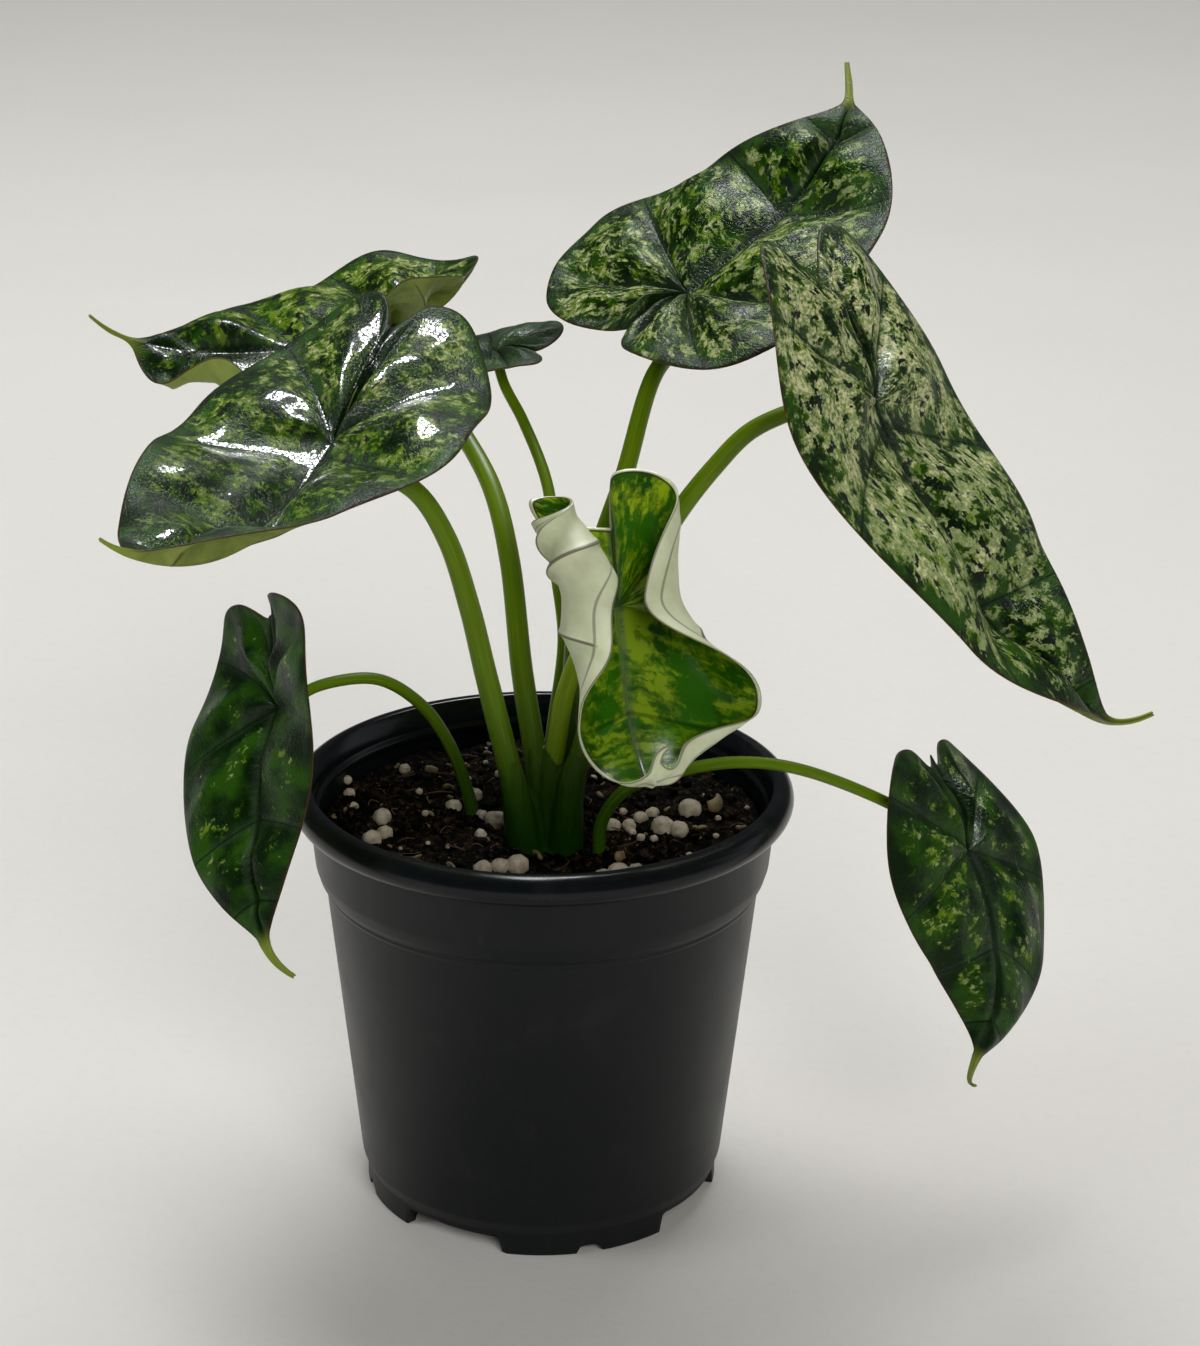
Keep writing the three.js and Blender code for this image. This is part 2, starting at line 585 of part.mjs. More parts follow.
function makeBlade(leaf) {
  const points = [];
  const triangles = [];
  const rows = leaf.rows.length;
  const columns = COLUMNS.length;
  [0, 1].forEach((side) => {
    const start = points.length;
    COLUMNS.forEach((u) => {
      const [endX, endY] = margin(leaf, side, u);
      const startX = ribStart(leaf, u);
      leaf.rows.forEach((v) => {
        const bow = u === 0 ? 0 : RIB_BOW * v * (1 - v);
        const x = lerp(startX, endX, v) - bow * endY;
        const y = Math.max(0.3 * endY * v, endY * v + bow * (endX - startX));
        const height = quilting(leaf, u, v);
        [0.5, -0.5].forEach((face) => {
          points.push(bent(leaf, side, x, v === 0 ? 0 : y, height + face * BLADE_THICKNESS));
        });
      });
    });
    const at = (column, row, face) => start + 2 * (column * rows + row) + face;
    const add = (a, b, c) => triangles.push(side === 0 ? [a, b, c] : [a, c, b]);
    for (let i = 0; i < columns - 1; i++) {
      for (let j = 0; j < rows - 1; j++) {
        add(at(i, j, 0), at(i + 1, j + 1, 0), at(i, j + 1, 0));
        add(at(i, j, 0), at(i + 1, j, 0), at(i + 1, j + 1, 0));
        add(at(i, j, 1), at(i, j + 1, 1), at(i + 1, j + 1, 1));
        add(at(i, j, 1), at(i + 1, j + 1, 1), at(i + 1, j, 1));
      }
      const edge = rows - 1;
      add(at(i, edge, 0), at(i + 1, edge, 0), at(i + 1, edge, 1));
      add(at(i, edge, 0), at(i + 1, edge, 1), at(i, edge, 1));
    }
    const end = columns - 1;
    for (let j = 0; j < rows - 1; j++) {
      add(at(end, j, 0), at(end, j + 1, 1), at(end, j + 1, 0));
      add(at(end, j, 0), at(end, j, 1), at(end, j + 1, 1));
    }
  });
  return shellOf(points, triangles).applyMatrix4(pose(leaf));
}

// Stems
function makeStem(leaf) {
  const under = new THREE.Vector3(0, 0, -BLADE_THICKNESS / 2 - GAP).applyMatrix4(pose(leaf));
  const near = new THREE.Vector3(0, 0, -STALK_DEPTH).applyMatrix4(pose(leaf));
  const way = leaf.stem.map((p) => new THREE.Vector3(...p));
  if (leaf.root) {
    const [x, y] = leaf.root;
    way.unshift(new THREE.Vector3(x, y, SOIL_TOP - ROOT_DEPTH), new THREE.Vector3(x, y, SOIL_TOP - 1));
  } else {
    way[0] = stemStart(leaf);
  }
  const curve = new THREE.CatmullRomCurve3([...way, near, under], false, "centripetal");
  const rings = Math.ceil(curve.getLength() / STEM_STEP);
  const [thick, thin] = leaf.stemRadius;
  return taperedTube(curve, (s) => lerp(thick, thin, s), STEM_SIDES, rings);
}

// Assembly
function piece(name, geometry, color, roughness, metalness = 0) {
  const material = new THREE.MeshStandardMaterial({ color, roughness, metalness });
  const mesh = new THREE.Mesh(geometry, material);
  mesh.name = name;
  return mesh;
}

const plant = new THREE.Group();
plant.add(piece("pot", makePot(), 0x1d1d1f, 0.4));
plant.add(piece("soil", makeSoil(), 0x2a211a, 0.95));
plant.add(piece("crown", makeCrown(), 0x4d6120, 0.5));
Object.entries(LEAVES).forEach(([name, values]) => {
  const leaf = withDefaults(values);
  const young = name === "young";
  plant.add(piece("stem_" + name, makeStem(leaf), young ? 0x7d9a3c : 0x4c6118, 0.45));
  plant.add(piece("blade_" + name, makeBlade(leaf), young ? 0x4f8a2c : 0x2f5226, 0.3));
});

const box = new THREE.Box3().setFromObject(plant, true);
const middle = box.getCenter(new THREE.Vector3());
plant.position.set(-middle.x, -middle.y, -box.min.z);
const part = new THREE.Group();
part.add(plant);

export default part;
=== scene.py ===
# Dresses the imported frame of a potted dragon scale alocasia: fine quilted blades with side veins and
# mottling, round stems, a sheathed crown, a moulded pot of potting mix, and a small daylight studio.
import math
import random
from types import SimpleNamespace

import bmesh
import bpy
import numpy as np
from mathutils import Matrix, Vector, noise


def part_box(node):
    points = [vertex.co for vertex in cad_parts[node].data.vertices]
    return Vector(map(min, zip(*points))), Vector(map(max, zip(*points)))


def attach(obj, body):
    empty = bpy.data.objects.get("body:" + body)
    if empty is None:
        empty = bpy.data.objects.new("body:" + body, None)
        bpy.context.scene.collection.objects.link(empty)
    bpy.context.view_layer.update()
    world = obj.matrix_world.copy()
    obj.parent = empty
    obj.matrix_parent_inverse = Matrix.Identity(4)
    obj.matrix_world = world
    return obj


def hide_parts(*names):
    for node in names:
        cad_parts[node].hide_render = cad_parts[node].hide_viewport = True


bl_info = {
    "name": "Potted Dragon Scale Alocasia",
    "version": (1, 0, 0),
    "blender": (4, 5, 0),
    "location": "View3D > Sidebar > Alocasia",
    "description": "Builds the looks of a potted aroid round its packed frame",
    "category": "Add Mesh",
}

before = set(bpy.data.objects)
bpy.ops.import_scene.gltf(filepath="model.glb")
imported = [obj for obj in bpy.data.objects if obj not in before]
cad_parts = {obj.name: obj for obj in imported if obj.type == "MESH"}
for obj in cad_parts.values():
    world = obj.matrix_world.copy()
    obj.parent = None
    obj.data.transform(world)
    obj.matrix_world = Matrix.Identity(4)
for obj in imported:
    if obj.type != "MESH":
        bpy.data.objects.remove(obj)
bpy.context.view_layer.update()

MM = 0.001
POT_LOW, POT_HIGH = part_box("pot")
AXIS = Vector(((POT_LOW.x + POT_HIGH.x) / 2, (POT_LOW.y + POT_HIGH.y) / 2, 0))

# Sizes of the pot in millimetres, the same as its solid's
POT_HEIGHT = 107
RIM_RADIUS = 61
RIM_ROLL = 3.7
LIP_ARC = (-55, 110)
COLLAR_TOP_RADIUS, COLLAR_TOP = 56.6, 99
COLLAR_FOOT_RADIUS, COLLAR_FOOT = 55.4, 87
BODY_TOP_RADIUS, BODY_TOP = 53, 82
BODY_FOOT_RADIUS, BODY_FOOT = 45.2, 9
LEDGE_RADIUS, LEDGE_THICK = 54.2, 1
WALL = 1.6
FOOT_RADIUS, FOOT_HEIGHT, FOOT_THICK = 43.9, 6, 2.6
FLOOR_BOTTOM, FLOOR_TOP = 3, 5
NOTCH_GROUPS = 4
NARROW_NOTCH = (-74.5, 8, 2.2)  # its middle and width in degrees, and its height
WIDE_NOTCH = (-30.5, 36, 5)
DRAIN_HOLE_RADIUS, DRAIN_HOLES_AT = 4, 30

SEAM_STEPS = ((-0.1, -1), (0.25, -0.4), (0.15, 0.2), (0.3, 0.6))  # out and up from the body's top
POT_SIDES = 288

# Sizes of what the pot holds, in millimetres
GAP = 0.3
SOIL_TOP = 95.5
SOIL_LUMP = 0.9
CROWN_AT = (1, -9)
CROWN_RADIUS = 12.5
CROWN_FOOT, CROWN_SHOULDER, CROWN_TOP = 66, 78, 99
STEM_START = 122
SHEATH_RADIUS = 5.6
SHEATH_SPREAD = 0.45
SHEATH_ROOT_Z = 90
SHEATH_STRAIGHT = 9
SHEATH_CLOSE = 3  # length over which a sheath closes round its stem
STEM_HIDDEN = 9  # length of a stem inside its sheath
STEM_SIDES = 28
ROOT_DEPTH = 16

# Shape of the blades, in millimetres and shares
RIB_BOW = 0.12
RIB_SLANT = 0.45
SINUS_SLIT = 0.5
DRIP_FROM = 0.97
STALK_DEPTH = 2.5
STALK_END_DEPTH = 0.2
OUTLINE = (
    (-0.5, 0), (-0.8, 0.09), (-0.99, 0.34), (-0.95, 0.64), (-0.58, 0.9),
    (0, 1), (0.29, 0.9), (0.56, 0.65), (0.79, 0.33), (0.94, 0.09),
)
DRIP_HALF_WIDTHS = (1.3, 0.8, 0.45)
VEINS = (0.14, 0.32, 0.48, 0.6, 0.7, 0.8, 0.89)
VEIN_COLUMNS = (18, 26, 26, 22, 18, 16, 12, 14)  # columns of faces from one side vein to the next
RIB_ROWS = 40
ROW_CROWDING = 0.92  # below 1 the rows lie closer at the margin
CURL_SAMPLES = 24
LEAF_SEED_STEP = 91  # keeps the noise of one leaf apart from the next one's
VEIN_PITCH = 16  # spacing of the side veins in the places that the streaks are drawn on
MARGIN_VEIN = 4.2  # distance of the young blade's burgundy ring from its margin

UNBENT = ((0, 0, 0, 0), (0, 0, 0, 0))
# Shares by which one grown blade differs from another; one of them sets how much painted grey sheen lies
# over a blade's colour
LOOKS = ("mottle", "haze", "lime", "streak", "shine")
LEAF_DEFAULTS = dict(
    arch_power=1.5, curl_power=2, dip=UNBENT, flat=UNBENT, full=(1, 1), wide=(1, 1), lobe=(1, 1),
    splay=(0, 0), quilt=1, root=None, young=0, mottle=0.5, haze=0.4, lime=0.5, streak=0.35, shine=0.06,
)
LEAVES = dict(
    top=dict(
        at=(35, 41, 217), heading=24, pitch=31, roll=7,
        front=70, back=27, half=44, sinus=0.55,
        arch=(30, 14), arch_power=2, sweep=46, twist=19,
        fold=(4, 5, 6, 29), curl=((30, 4, -43, -8), (-16, -3, 14, -1)), drip=(13, 0, -2),
        stem=((7, -6.5), (8, -5, 147), (13, 0, 165), (19, 8, 181), (26, 23, 201), (34, 38, 208)),
        stem_radius=(2.7, 1.9), mottle=0.48, haze=0.35, lime=0.5, streak=0.8, shine=0.03,
    ),
    right=dict(
        at=(75, -16, 206), heading=-35, pitch=-61, roll=-7,
        front=104, back=42, half=40, sinus=0.68,
        arch=(-10, 11), sweep=63, twist=3,
        fold=(6, -1, 23, 62), curl=((-26, 8, -27, 1), (8, -5, -32, 3)), drip=(13, 28, 10),
        stem=(
            (9.5, -17), (13, -17, 134), (17, -16, 147), (22, -15, 163), (31, -14, 179),
            (39, -14, 190), (47, -15, 199), (57, -15, 204), (66, -12, 206),
        ),
        stem_radius=(2.8, 1.8), mottle=0.65, haze=0.2, lime=0.25, streak=0.6, shine=0.12,
    ),
    front=dict(
        at=(-47, -36, 202), heading=250, pitch=-22, roll=-2,
        front=91, back=49, half=35, sinus=0.8,
        arch=(19, 50), arch_power=1.2, sweep=-18, twist=5,
        fold=(-20, 12, 27, 45), curl=((-25, -3, -19, -2), (18, -15, 30, 1)), drip=(7, 5, -40),
        dip=((0, 0, 0, 0), (0, 0, 0, -38)), full=(1, 1.5), wide=(0.95, 0.93),
        lobe=(1, 1.02), splay=(-0.08, -0.1),
        stem=(
            (-9, -18.5), (-13.5, -20, 142), (-17, -23, 159), (-22, -27, 177), (-29, -32, 190),
            (-39, -34, 196),
        ),
        stem_radius=(2.9, 2), mottle=0.46, haze=0.3, lime=0.8, streak=0.45, shine=1,
    ),
    left=dict(
        at=(-38, 61, 204), heading=184, pitch=-17, roll=7,
        front=66, back=29, half=47, sinus=0.6,
        arch=(60, 36), sweep=16, twist=-14,
        fold=(-6, 2, 17, 0), curl=((50, 22, 124, 590), (45, 42, -36, -1)), curl_power=1.5,
        dip=((0, 0, -62, -65), (0, 0, 0, 5)), drip=(12, 24, 4),
        full=(1.35, 1), wide=(1.18, 0.97), lobe=(0.82, 0.88),
        stem=(
            (-2.5, -11), (-5, -9, 138), (-8, -1, 163), (-12, 11, 176), (-18, 24, 184), (-30, 45, 195),
        ),
        stem_radius=(2.8, 1.9), mottle=0.53, haze=0.08, lime=1, streak=0.45, shine=0.35,
    ),
    back=dict(
        at=(-12, 60, 197), heading=158, pitch=-6, roll=-9,
        front=44, back=15, half=18, sinus=0.5,
        arch=(0, 0), sweep=0, twist=15,
        fold=(10, 2, -6, 0), curl=((23, 14, 1, 0), (-17, -9, -5, 0)), drip=(8, 57, 0),
        stem=((2.6, -2.5), (5, 7, 140), (3, 17, 155), (1, 31, 171), (-5, 46, 183), (-10, 56, 190)),
        stem_radius=(1.7, 1.3), mottle=0.1, haze=0.9,
    ),
    young=dict(
        at=(17, -28, 161), heading=-78, pitch=-62, roll=0,
        front=58, back=32, half=36, sinus=0.57,
        arch=(10, 150), arch_power=3.3, sweep=3, twist=0,
        fold=(0, 0, 0, 0), curl=((262, 212, 60, 420), (230, 215, 140, 90)), curl_power=1,
        flat=((0.25, 0.15, 0.3, 0), (0.45, 0.22, 0, 0)), drip=(5, 10, -80),
        full=(1.5, 0.95), wide=(0.95, 1), lobe=(0.98, 0.82), splay=(-0.3, 0.95), quilt=0.4,
        stem=((3.2, -14.5), (5, -15.5, 134), (9, -18, 147), (13, -19, 154)),
        stem_radius=(2.5, 1.8), young=1,
    ),
    low_left=dict(
        at=(-62, -15, 131), heading=257, pitch=-45, roll=48,
        front=60, back=29, half=30, sinus=0.8,
        arch=(67, -15), sweep=18, twist=-27,
        fold=(4, 16, 12, 17), curl=((11, 3, -4, 0), (42, -1, -15, 1)), drip=(10, -60, 9),
        root=(-17, 4),
        stem=(
            (-19, 3, 104), (-23, 1, 116), (-29, -1, 126), (-39, -7, 135), (-49, -11, 136),
            (-56, -13, 134),
        ),
        stem_radius=(1.7, 1.3), mottle=0.1, haze=0.2,
    ),
    low_right=dict(
        at=(103, -8, 91), heading=-51, pitch=-56, roll=-17,
        front=52, back=28, half=29, sinus=0.9,
        arch=(2, -30), sweep=-48, twist=19,
        fold=(-5, -2, -10, -32), curl=((13, 19, 10, -1), (0, -26, 4, 0)), drip=(13, 86, -16),
        root=(13.5, -19.5),
        stem=(
            (14, -20, 104), (20, -21, 113), (34, -21, 118), (47, -19, 119), (60, -18, 117),
            (82, -12, 106), (94, -8, 97),
        ),
        stem_radius=(1.6, 1.3), mottle=0.28, haze=0.2,
    ),
)

# What lies on the mix: places in millimetres from the pot's axis, and radii
PERLITE = (
    (-39, -1, 2.3), (-41, -12, 2.3), (-38, -9, 2.0), (-48, 16, 1.5), (-49, 24, 1.3), (-35, 33, 1.5),
    (-22, 8, 2.0), (-17, 14, 2.0), (-15, 3, 1.5), (-11.5, -1, 2.7), (-15, -9, 1.5), (-14, -31, 2.3),
    (-10, -29, 2.2), (-6, -28, 2.8), (17, -3, 2.0), (21, -2, 1.8), (24, 3, 1.8), (27, 5, 1.8),
    (29, -7, 2.8), (36, 2, 2.8), (33, -8, 2.3), (14, -34, 2.0), (18, -33, 3.0), (22, -30, 1.8),
)
BARK = (
    (-47, 4, 2.2), (-23, 19, 2.2), (-1, -19.5, 2.2), (-21, -30, 2.3), (38, -6, 2.2), (43, 5, 4.2),
    (18, -25, 2.8), (14, 14, 2.2), (48, -5, 2.2), (-30, -22, 2.0), (2, 34, 2.5), (-28, 30, 2.2),
)

# Loose pieces strewn by chance: how many, and how far in millimetres they keep from the crown
SMALL_BEADS = (46, 15)
SMALL_CHIPS = (46, 14)
CRUMBS = (420, 9)
FIBRES = (60, 13)
LITTER_REACH = 51.5

# Studio, in metres from the pot's axis
CAMERA_PLACE = (0, -0.7168, 0.4073)
CAMERA_TURN = (0.019, -0.364, 0.010)  # yaw, pitch and roll in radians
CAMERA_SENSOR = 36
CAMERA_LENS = 85.6
SKY_COLOUR = (0.93, 0.96, 1.0, 1)
SKY_STRENGTH = 0.07
LIGHT_AIM_HEIGHT = 0.15
LIGHTS = dict(
    overhead=((-0.3, 0.7, 1.7), 0.7, 12, (1, 0.99, 0.98)),
    ceiling=((0.5, 2.0, 3.2), 2.4, 57, (1, 0.99, 0.98)),
    window=((-2.2, -0.4, 1.4), 1.2, 17, (0.95, 0.97, 1)),
    fill=((0.7, -2.3, 1.5), 1.2, 34, (1, 0.98, 0.95)),
    glint=((0.2, 0.62, 1.6), 0.62, 42, (0.97, 0.98, 1)),
    sheen=((2.4, 0.5, 0.9), 1.6, 4, (0.9, 0.96, 1)),
)
GLOSS_LIGHTS = ("glint", "sheen")  # lights that show in glossy surfaces alone
MATT_LIGHTS = ("overhead", "ceiling", "fill", "window")  # lights that glossy surfaces don't mirror


def screen(red, green, blue):
    """A colour given as it shows on a screen, 0 to 255, as the linear values that a shader takes."""
    linear = []
    for level in (red, green, blue):
        share = level / 255
        linear.append(share / 12.92 if share <= 0.04045 else ((share + 0.055) / 1.055) ** 2.4)
    return (*linear, 1)


def colour(name, description, red, green, blue):
    """A colour property of the panel."""
    return bpy.props.FloatVectorProperty(
        name=name, description=description, subtype="COLOR", size=4, min=0, max=1,
        default=screen(red, green, blue),
    )


def length(name, description, millimetres):
    """A length property of the panel."""
    return bpy.props.FloatProperty(
        name=name, description=description, default=millimetres * MM, unit="LENGTH", precision=5,
    )


class AlocasiaSizes(bpy.types.PropertyGroup):
    """Sizes that the solids don't settle."""

    blade_thickness: length("Blade thickness", "Thickness of a leaf blade", 0.8)
    quilt_height: length("Quilting", "How far a blade puffs up between its side veins", 5.5)
    ripple: length("Ripple", "Height of the small waves between the side veins", 0.7)
    vein_ridge: length("Vein ridge", "How far a side vein stands out under the blade", 0.5)
    midrib_ridge: length("Midrib ridge", "How far the midrib stands out under the blade", 1.3)
    grain: length("Soil grain", "Height of the crumbs of the potting mix", 1.6)
    floor_side: length("Floor", "Side of the studio floor", 9000)


class AlocasiaColours(bpy.types.PropertyGroup):
    """Colours of the plant, the pot and the floor."""

    leaf_dark: colour("Leaf dark", "Darkest green of a grown blade", 7, 29, 3)
    leaf_green: colour("Leaf green", "Plain green of a grown blade", 36, 74, 4)
    fleck_sage: colour("Sage fleck", "Greyish flecks of a grown blade", 156, 170, 114)
    fleck_lime: colour("Lime fleck", "Yellow-green flecks of a grown blade", 104, 132, 26)
    fleck_bright: colour("Bright fleck", "Palest middles of the flecks", 228, 224, 172)
    # Also the colour of the painted grey sheen on the grown blades
    vein_grey: colour("Vein grey", "Grey-green bands along the veins", 72, 86, 70)
    spot_dark: colour("Dark spot", "Oval dark spots of a grown blade", 26, 34, 28)
    under_green: colour("Underside", "Underside of a grown blade", 138, 152, 74)
    burgundy: colour("Burgundy", "Margin, and the veins of the underside", 62, 34, 28)
    tip_green: colour("Tip", "Drip tip and thin edges", 134, 150, 58)
    young_green: colour("Young green", "Young blade's upper side", 42, 98, 2)
    young_deep: colour("Young deep green", "Darker clouds of the young blade", 24, 74, 1)
    young_lime: colour("Young lime", "Streaks of the young blade", 150, 178, 24)
    young_under: colour("Young underside", "Young blade's underside", 208, 214, 182)
    stem_green: colour("Stem", "Leaf stems", 96, 124, 6)
    # Also the painted shade at the foot of the grown stalks
    crown_green: colour("Crown", "Sheaths at the foot of the stems", 42, 76, 6)
    # Painted shade at the foot of the sheaths, where they meet the mix
    crown_foot_shade: colour("Crown foot", "Foot of the sheaths, at the mix", 14, 46, 4)
    mix_brown: colour("Mix", "Damp potting mix", 9, 7, 5)
    # Painted shade: the near black that the mix takes in the hollows of its crumb relief
    mix_hollow_shade: colour("Mix hollows", "Hollows of the potting mix", 3, 3, 2)
    mix_bark: colour("Mix crumbs", "Bark crumbs in the potting mix", 50, 38, 27)
    perlite_white: colour("Perlite", "Perlite beads", 166, 156, 138)
    perlite_stain: colour("Perlite stain", "Stained patches of the beads", 112, 98, 76)
    bark_tan: colour("Bark", "Chips of bark", 112, 98, 66)
    bark_brown: colour("Bark patches", "Darker patches of the chips", 62, 48, 30)
    coir_brown: colour("Coir", "Fibres on the mix", 74, 54, 36)
    coir_dark: colour("Coir patches", "Darker stretches of the fibres", 36, 26, 18)
    pot_black: colour("Pot", "Moulded plastic of the pot", 10, 14, 16)
    dust_grey: colour("Dust", "Dust and scuffs on the pot", 92, 92, 88)
    floor_pale: colour("Floor", "Studio floor", 225, 223, 218)
    floor_mottle: colour("Floor mottling", "Faint mottling of the floor", 176, 170, 160)


# Shader building
class Value:
    """A shader socket that can stand in sums, products and quotients."""

    def __init__(self, graph, socket):
        self.graph = graph
        self.socket = socket

    def maths(self, operation, first, second):
        return self.graph.node("ShaderNodeMath", {"operation": operation}, (first, second))

    def __add__(self, other):
        return self.maths("ADD", self, other)

    def __radd__(self, other):
        return self.maths("ADD", other, self)

    def __sub__(self, other):
        return self.maths("SUBTRACT", self, other)

    def __rsub__(self, other):
        return self.maths("SUBTRACT", other, self)

    def __mul__(self, other):
        return self.maths("MULTIPLY", self, other)

    def __rmul__(self, other):
        return self.maths("MULTIPLY", other, self)

    def __truediv__(self, other):
        return self.maths("DIVIDE", self, other)

    def __rtruediv__(self, other):
        return self.maths("DIVIDE", other, self)


class Graph:
    """The node tree of one material, built from the surface's own places and measures."""

    def __init__(self, name):
        self.material = bpy.data.materials.new(name)
        self.material.use_nodes = True
        self.tree = self.material.node_tree
        self.tree.nodes.clear()

    def node(self, kind, settings, sockets, output=0):
        """Adds a node: its settings, then the values or links of its sockets, by name or in order."""
        node = self.tree.nodes.new(kind)
        for key, value in settings.items():
            setattr(node, key, value)
        pairs = sockets.items() if isinstance(sockets, dict) else enumerate(sockets)
        for key, value in pairs:
            if isinstance(value, Value):
                self.tree.links.new(value.socket, node.inputs[key])
            else:
                node.inputs[key].default_value = value
        return Value(self, node.outputs[output]) if len(node.outputs) else None

    def measure(self, name):
        return self.node("ShaderNodeAttribute", {"attribute_name": name}, {}, "Fac")

    def places(self, name):
        return self.node("ShaderNodeAttribute", {"attribute_name": name}, {}, "Vector")

    def position(self):
        return self.node("ShaderNodeTexCoord", {}, {}, "Object")

    def noise(self, vector, scale, detail=2.0, roughness=0.5, output="Fac"):
        values = {"Vector": vector, "Scale": scale, "Detail": detail, "Roughness": roughness}
        return self.node("ShaderNodeTexNoise", {}, values, output)

    def patches(self, vector, factors, detail=2.0, roughness=0.5):
        """A noise over places that are first scaled along each axis."""
        return self.noise(self.scaled(vector, factors), 1.0, detail, roughness)

    def cells(self, vector, scale, feature="F1"):
        return self.node("ShaderNodeTexVoronoi", {"feature": feature}, {"Vector": vector, "Scale": scale})

    def ease(self, value, start, end):
        """Eases from 0 to 1 as a value goes from start to end."""
        return self.node("ShaderNodeMapRange", {"interpolation_type": "SMOOTHSTEP"}, (value, start, end))

    def larger(self, first, second):
        return self.node("ShaderNodeMath", {"operation": "MAXIMUM"}, (first, second))

    def mix(self, share, first, second):
        return self.node("ShaderNodeMix", {"data_type": "RGBA"}, {0: share, 6: first, 7: second}, 2)

    def scaled(self, vector, factors):
        return self.node("ShaderNodeVectorMath", {"operation": "MULTIPLY"}, (vector, factors))

    def jittered(self, vector, scale, amount):
        """Moves places about by a noise, so that what is drawn on them has ragged edges."""
        shift = self.noise(vector, scale, 2.0, output="Color")
        centred = self.node("ShaderNodeVectorMath", {"operation": "SUBTRACT"}, (shift, (0.5, 0.5, 0.5)))
        moved = self.scaled(centred, (amount, amount, amount))
        return self.node("ShaderNodeVectorMath", {"operation": "ADD"}, (vector, moved))

    def bump(self, height, distance, strength):
        values = {"Strength": strength, "Distance": distance, "Height": height}
        return self.node("ShaderNodeBump", {}, values)

    def surface(self, **sockets):
        """Ends the tree in a principled surface, with the names of its sockets written with _."""
        named = {key.replace("_", " "): value for key, value in sockets.items()}
        shader = self.node("ShaderNodeBsdfPrincipled", {}, named)
        self.node("ShaderNodeOutputMaterial", {}, {"Surface": shader})
        return self.material


# Meshes
def to_frame(points):
    """Millimetres from the pot's axis on the floor, as metres in the frame."""
    return np.asarray(points, float) * MM + np.array(AXIS)


def new_piece(name, points, faces, material, slot, replaced=(), measures=None):
    """A mesh piece that rides on the part's body. Points are millimetres from the pot's axis."""
    mesh = bpy.data.meshes.new(name)
    mesh.from_pydata(to_frame(points).tolist(), [], faces)
    for key, values in (measures or {}).items():
        values = np.asarray(values, np.float32)
        kind = "FLOAT_VECTOR" if values.ndim == 2 else "FLOAT"
        attribute = mesh.attributes.new(key, kind, "POINT")
        attribute.data.foreach_set("vector" if values.ndim == 2 else "value", values.ravel())
    mesh.polygons.foreach_set("use_smooth", [True] * len(mesh.polygons))
    mesh.materials.append(material)
    mesh.validate()
    mesh.update()
    piece = bpy.data.objects.new(name, mesh)
    bpy.context.scene.collection.objects.link(piece)
    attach(piece, "root")
    if replaced:
        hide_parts(*replaced)
    return piece


def apply_modifiers(piece):
    """Puts the result of a piece's modifiers into its mesh."""
    result = piece.evaluated_get(bpy.context.evaluated_depsgraph_get())
    mesh = bpy.data.meshes.new_from_object(result)
    piece.modifiers.clear()
    piece.data = mesh


def joined(parts):
    """Points and faces of several meshes as one."""
    points = np.concatenate([part[0] for part in parts])
    starts = np.cumsum([0] + [len(part[0]) for part in parts])
    faces = [
        tuple(int(i + start) for i in face)
        for (_, part_faces), start in zip(parts, starts) for face in part_faces
    ]
    return points, faces


def smoothstep(values, start, end):
    share = np.clip((values - start) / (end - start), 0, 1)
    return share * share * (3 - 2 * share)


def radians(values):
    return np.radians(np.asarray(values, float))


def turned(profile, sides):
    """A round shell from a profile of radius and height pairs."""
    profile = np.asarray(profile, float)
    angles = np.arange(sides) * 2 * math.pi / sides
    radius, height = profile[:, :1], profile[:, 1:]
    level = np.broadcast_to(height, (len(profile), sides))
    rings = np.stack([radius * np.cos(angles), radius * np.sin(angles), level], axis=-1)
    faces = []
    for i in range(len(profile) - 1):
        here, there = i * sides, (i + 1) * sides
        for j in range(sides):
            k = (j + 1) % sides
            faces.append((here + j, here + k, there + k, there + j))
    return rings.reshape(-1, 3), faces


def arc(centre, radius, from_deg, to_deg, steps):
    angles = radians(np.linspace(from_deg, to_deg, steps + 1))
    return [(centre[0] + radius * math.cos(a), centre[1] + radius * math.sin(a)) for a in angles]


def eased_corners(profile, radius, steps=3):
    """A profile with each inner corner turned into a short curve."""
    points = [np.array(p, float) for p in profile]
    eased = [points[0]]
    for before, corner, after in zip(points, points[1:], points[2:]):
        reach = min(radius, np.linalg.norm(before - corner) / 2.2, np.linalg.norm(after - corner) / 2.2)
        start = corner + (before - corner) / np.linalg.norm(before - corner) * reach
        end = corner + (after - corner) / np.linalg.norm(after - corner) * reach
        for share in np.linspace(0, 1, steps + 1):
            low, high = start + (corner - start) * share, corner + (end - corner) * share
            eased.append(low + (high - low) * share)
    eased.append(points[-1])
    return eased


# Curves and tubes
def spline(points, closeness=0.5):
    """Points closely along a centripetal Catmull-Rom curve through the given ones."""
    given = np.asarray(points, float)
    given = np.vstack([2 * given[0] - given[1], given, 2 * given[-1] - given[-2]])
    line = [given[1]]
    for p0, p1, p2, p3 in zip(given, given[1:], given[2:], given[3:]):
        d0, d1, d2 = (max(np.linalg.norm(b - a) ** 0.5, 1e-4) for a, b in ((p0, p1), (p1, p2), (p2, p3)))
        m1 = ((p1 - p0) / d0 - (p2 - p0) / (d0 + d1) + (p2 - p1) / d1) * d1
        m2 = ((p2 - p1) / d1 - (p3 - p1) / (d1 + d2) + (p3 - p2) / d2) * d1
        steps = max(2, math.ceil(np.linalg.norm(p2 - p1) / closeness))
        for t in np.arange(1, steps + 1) / steps:
            line.append(
                p1 + m1 * t + (3 * p2 - 3 * p1 - 2 * m1 - m2) * t**2 + (2 * p1 - 2 * p2 + m1 + m2) * t**3
            )
    return np.array(line)


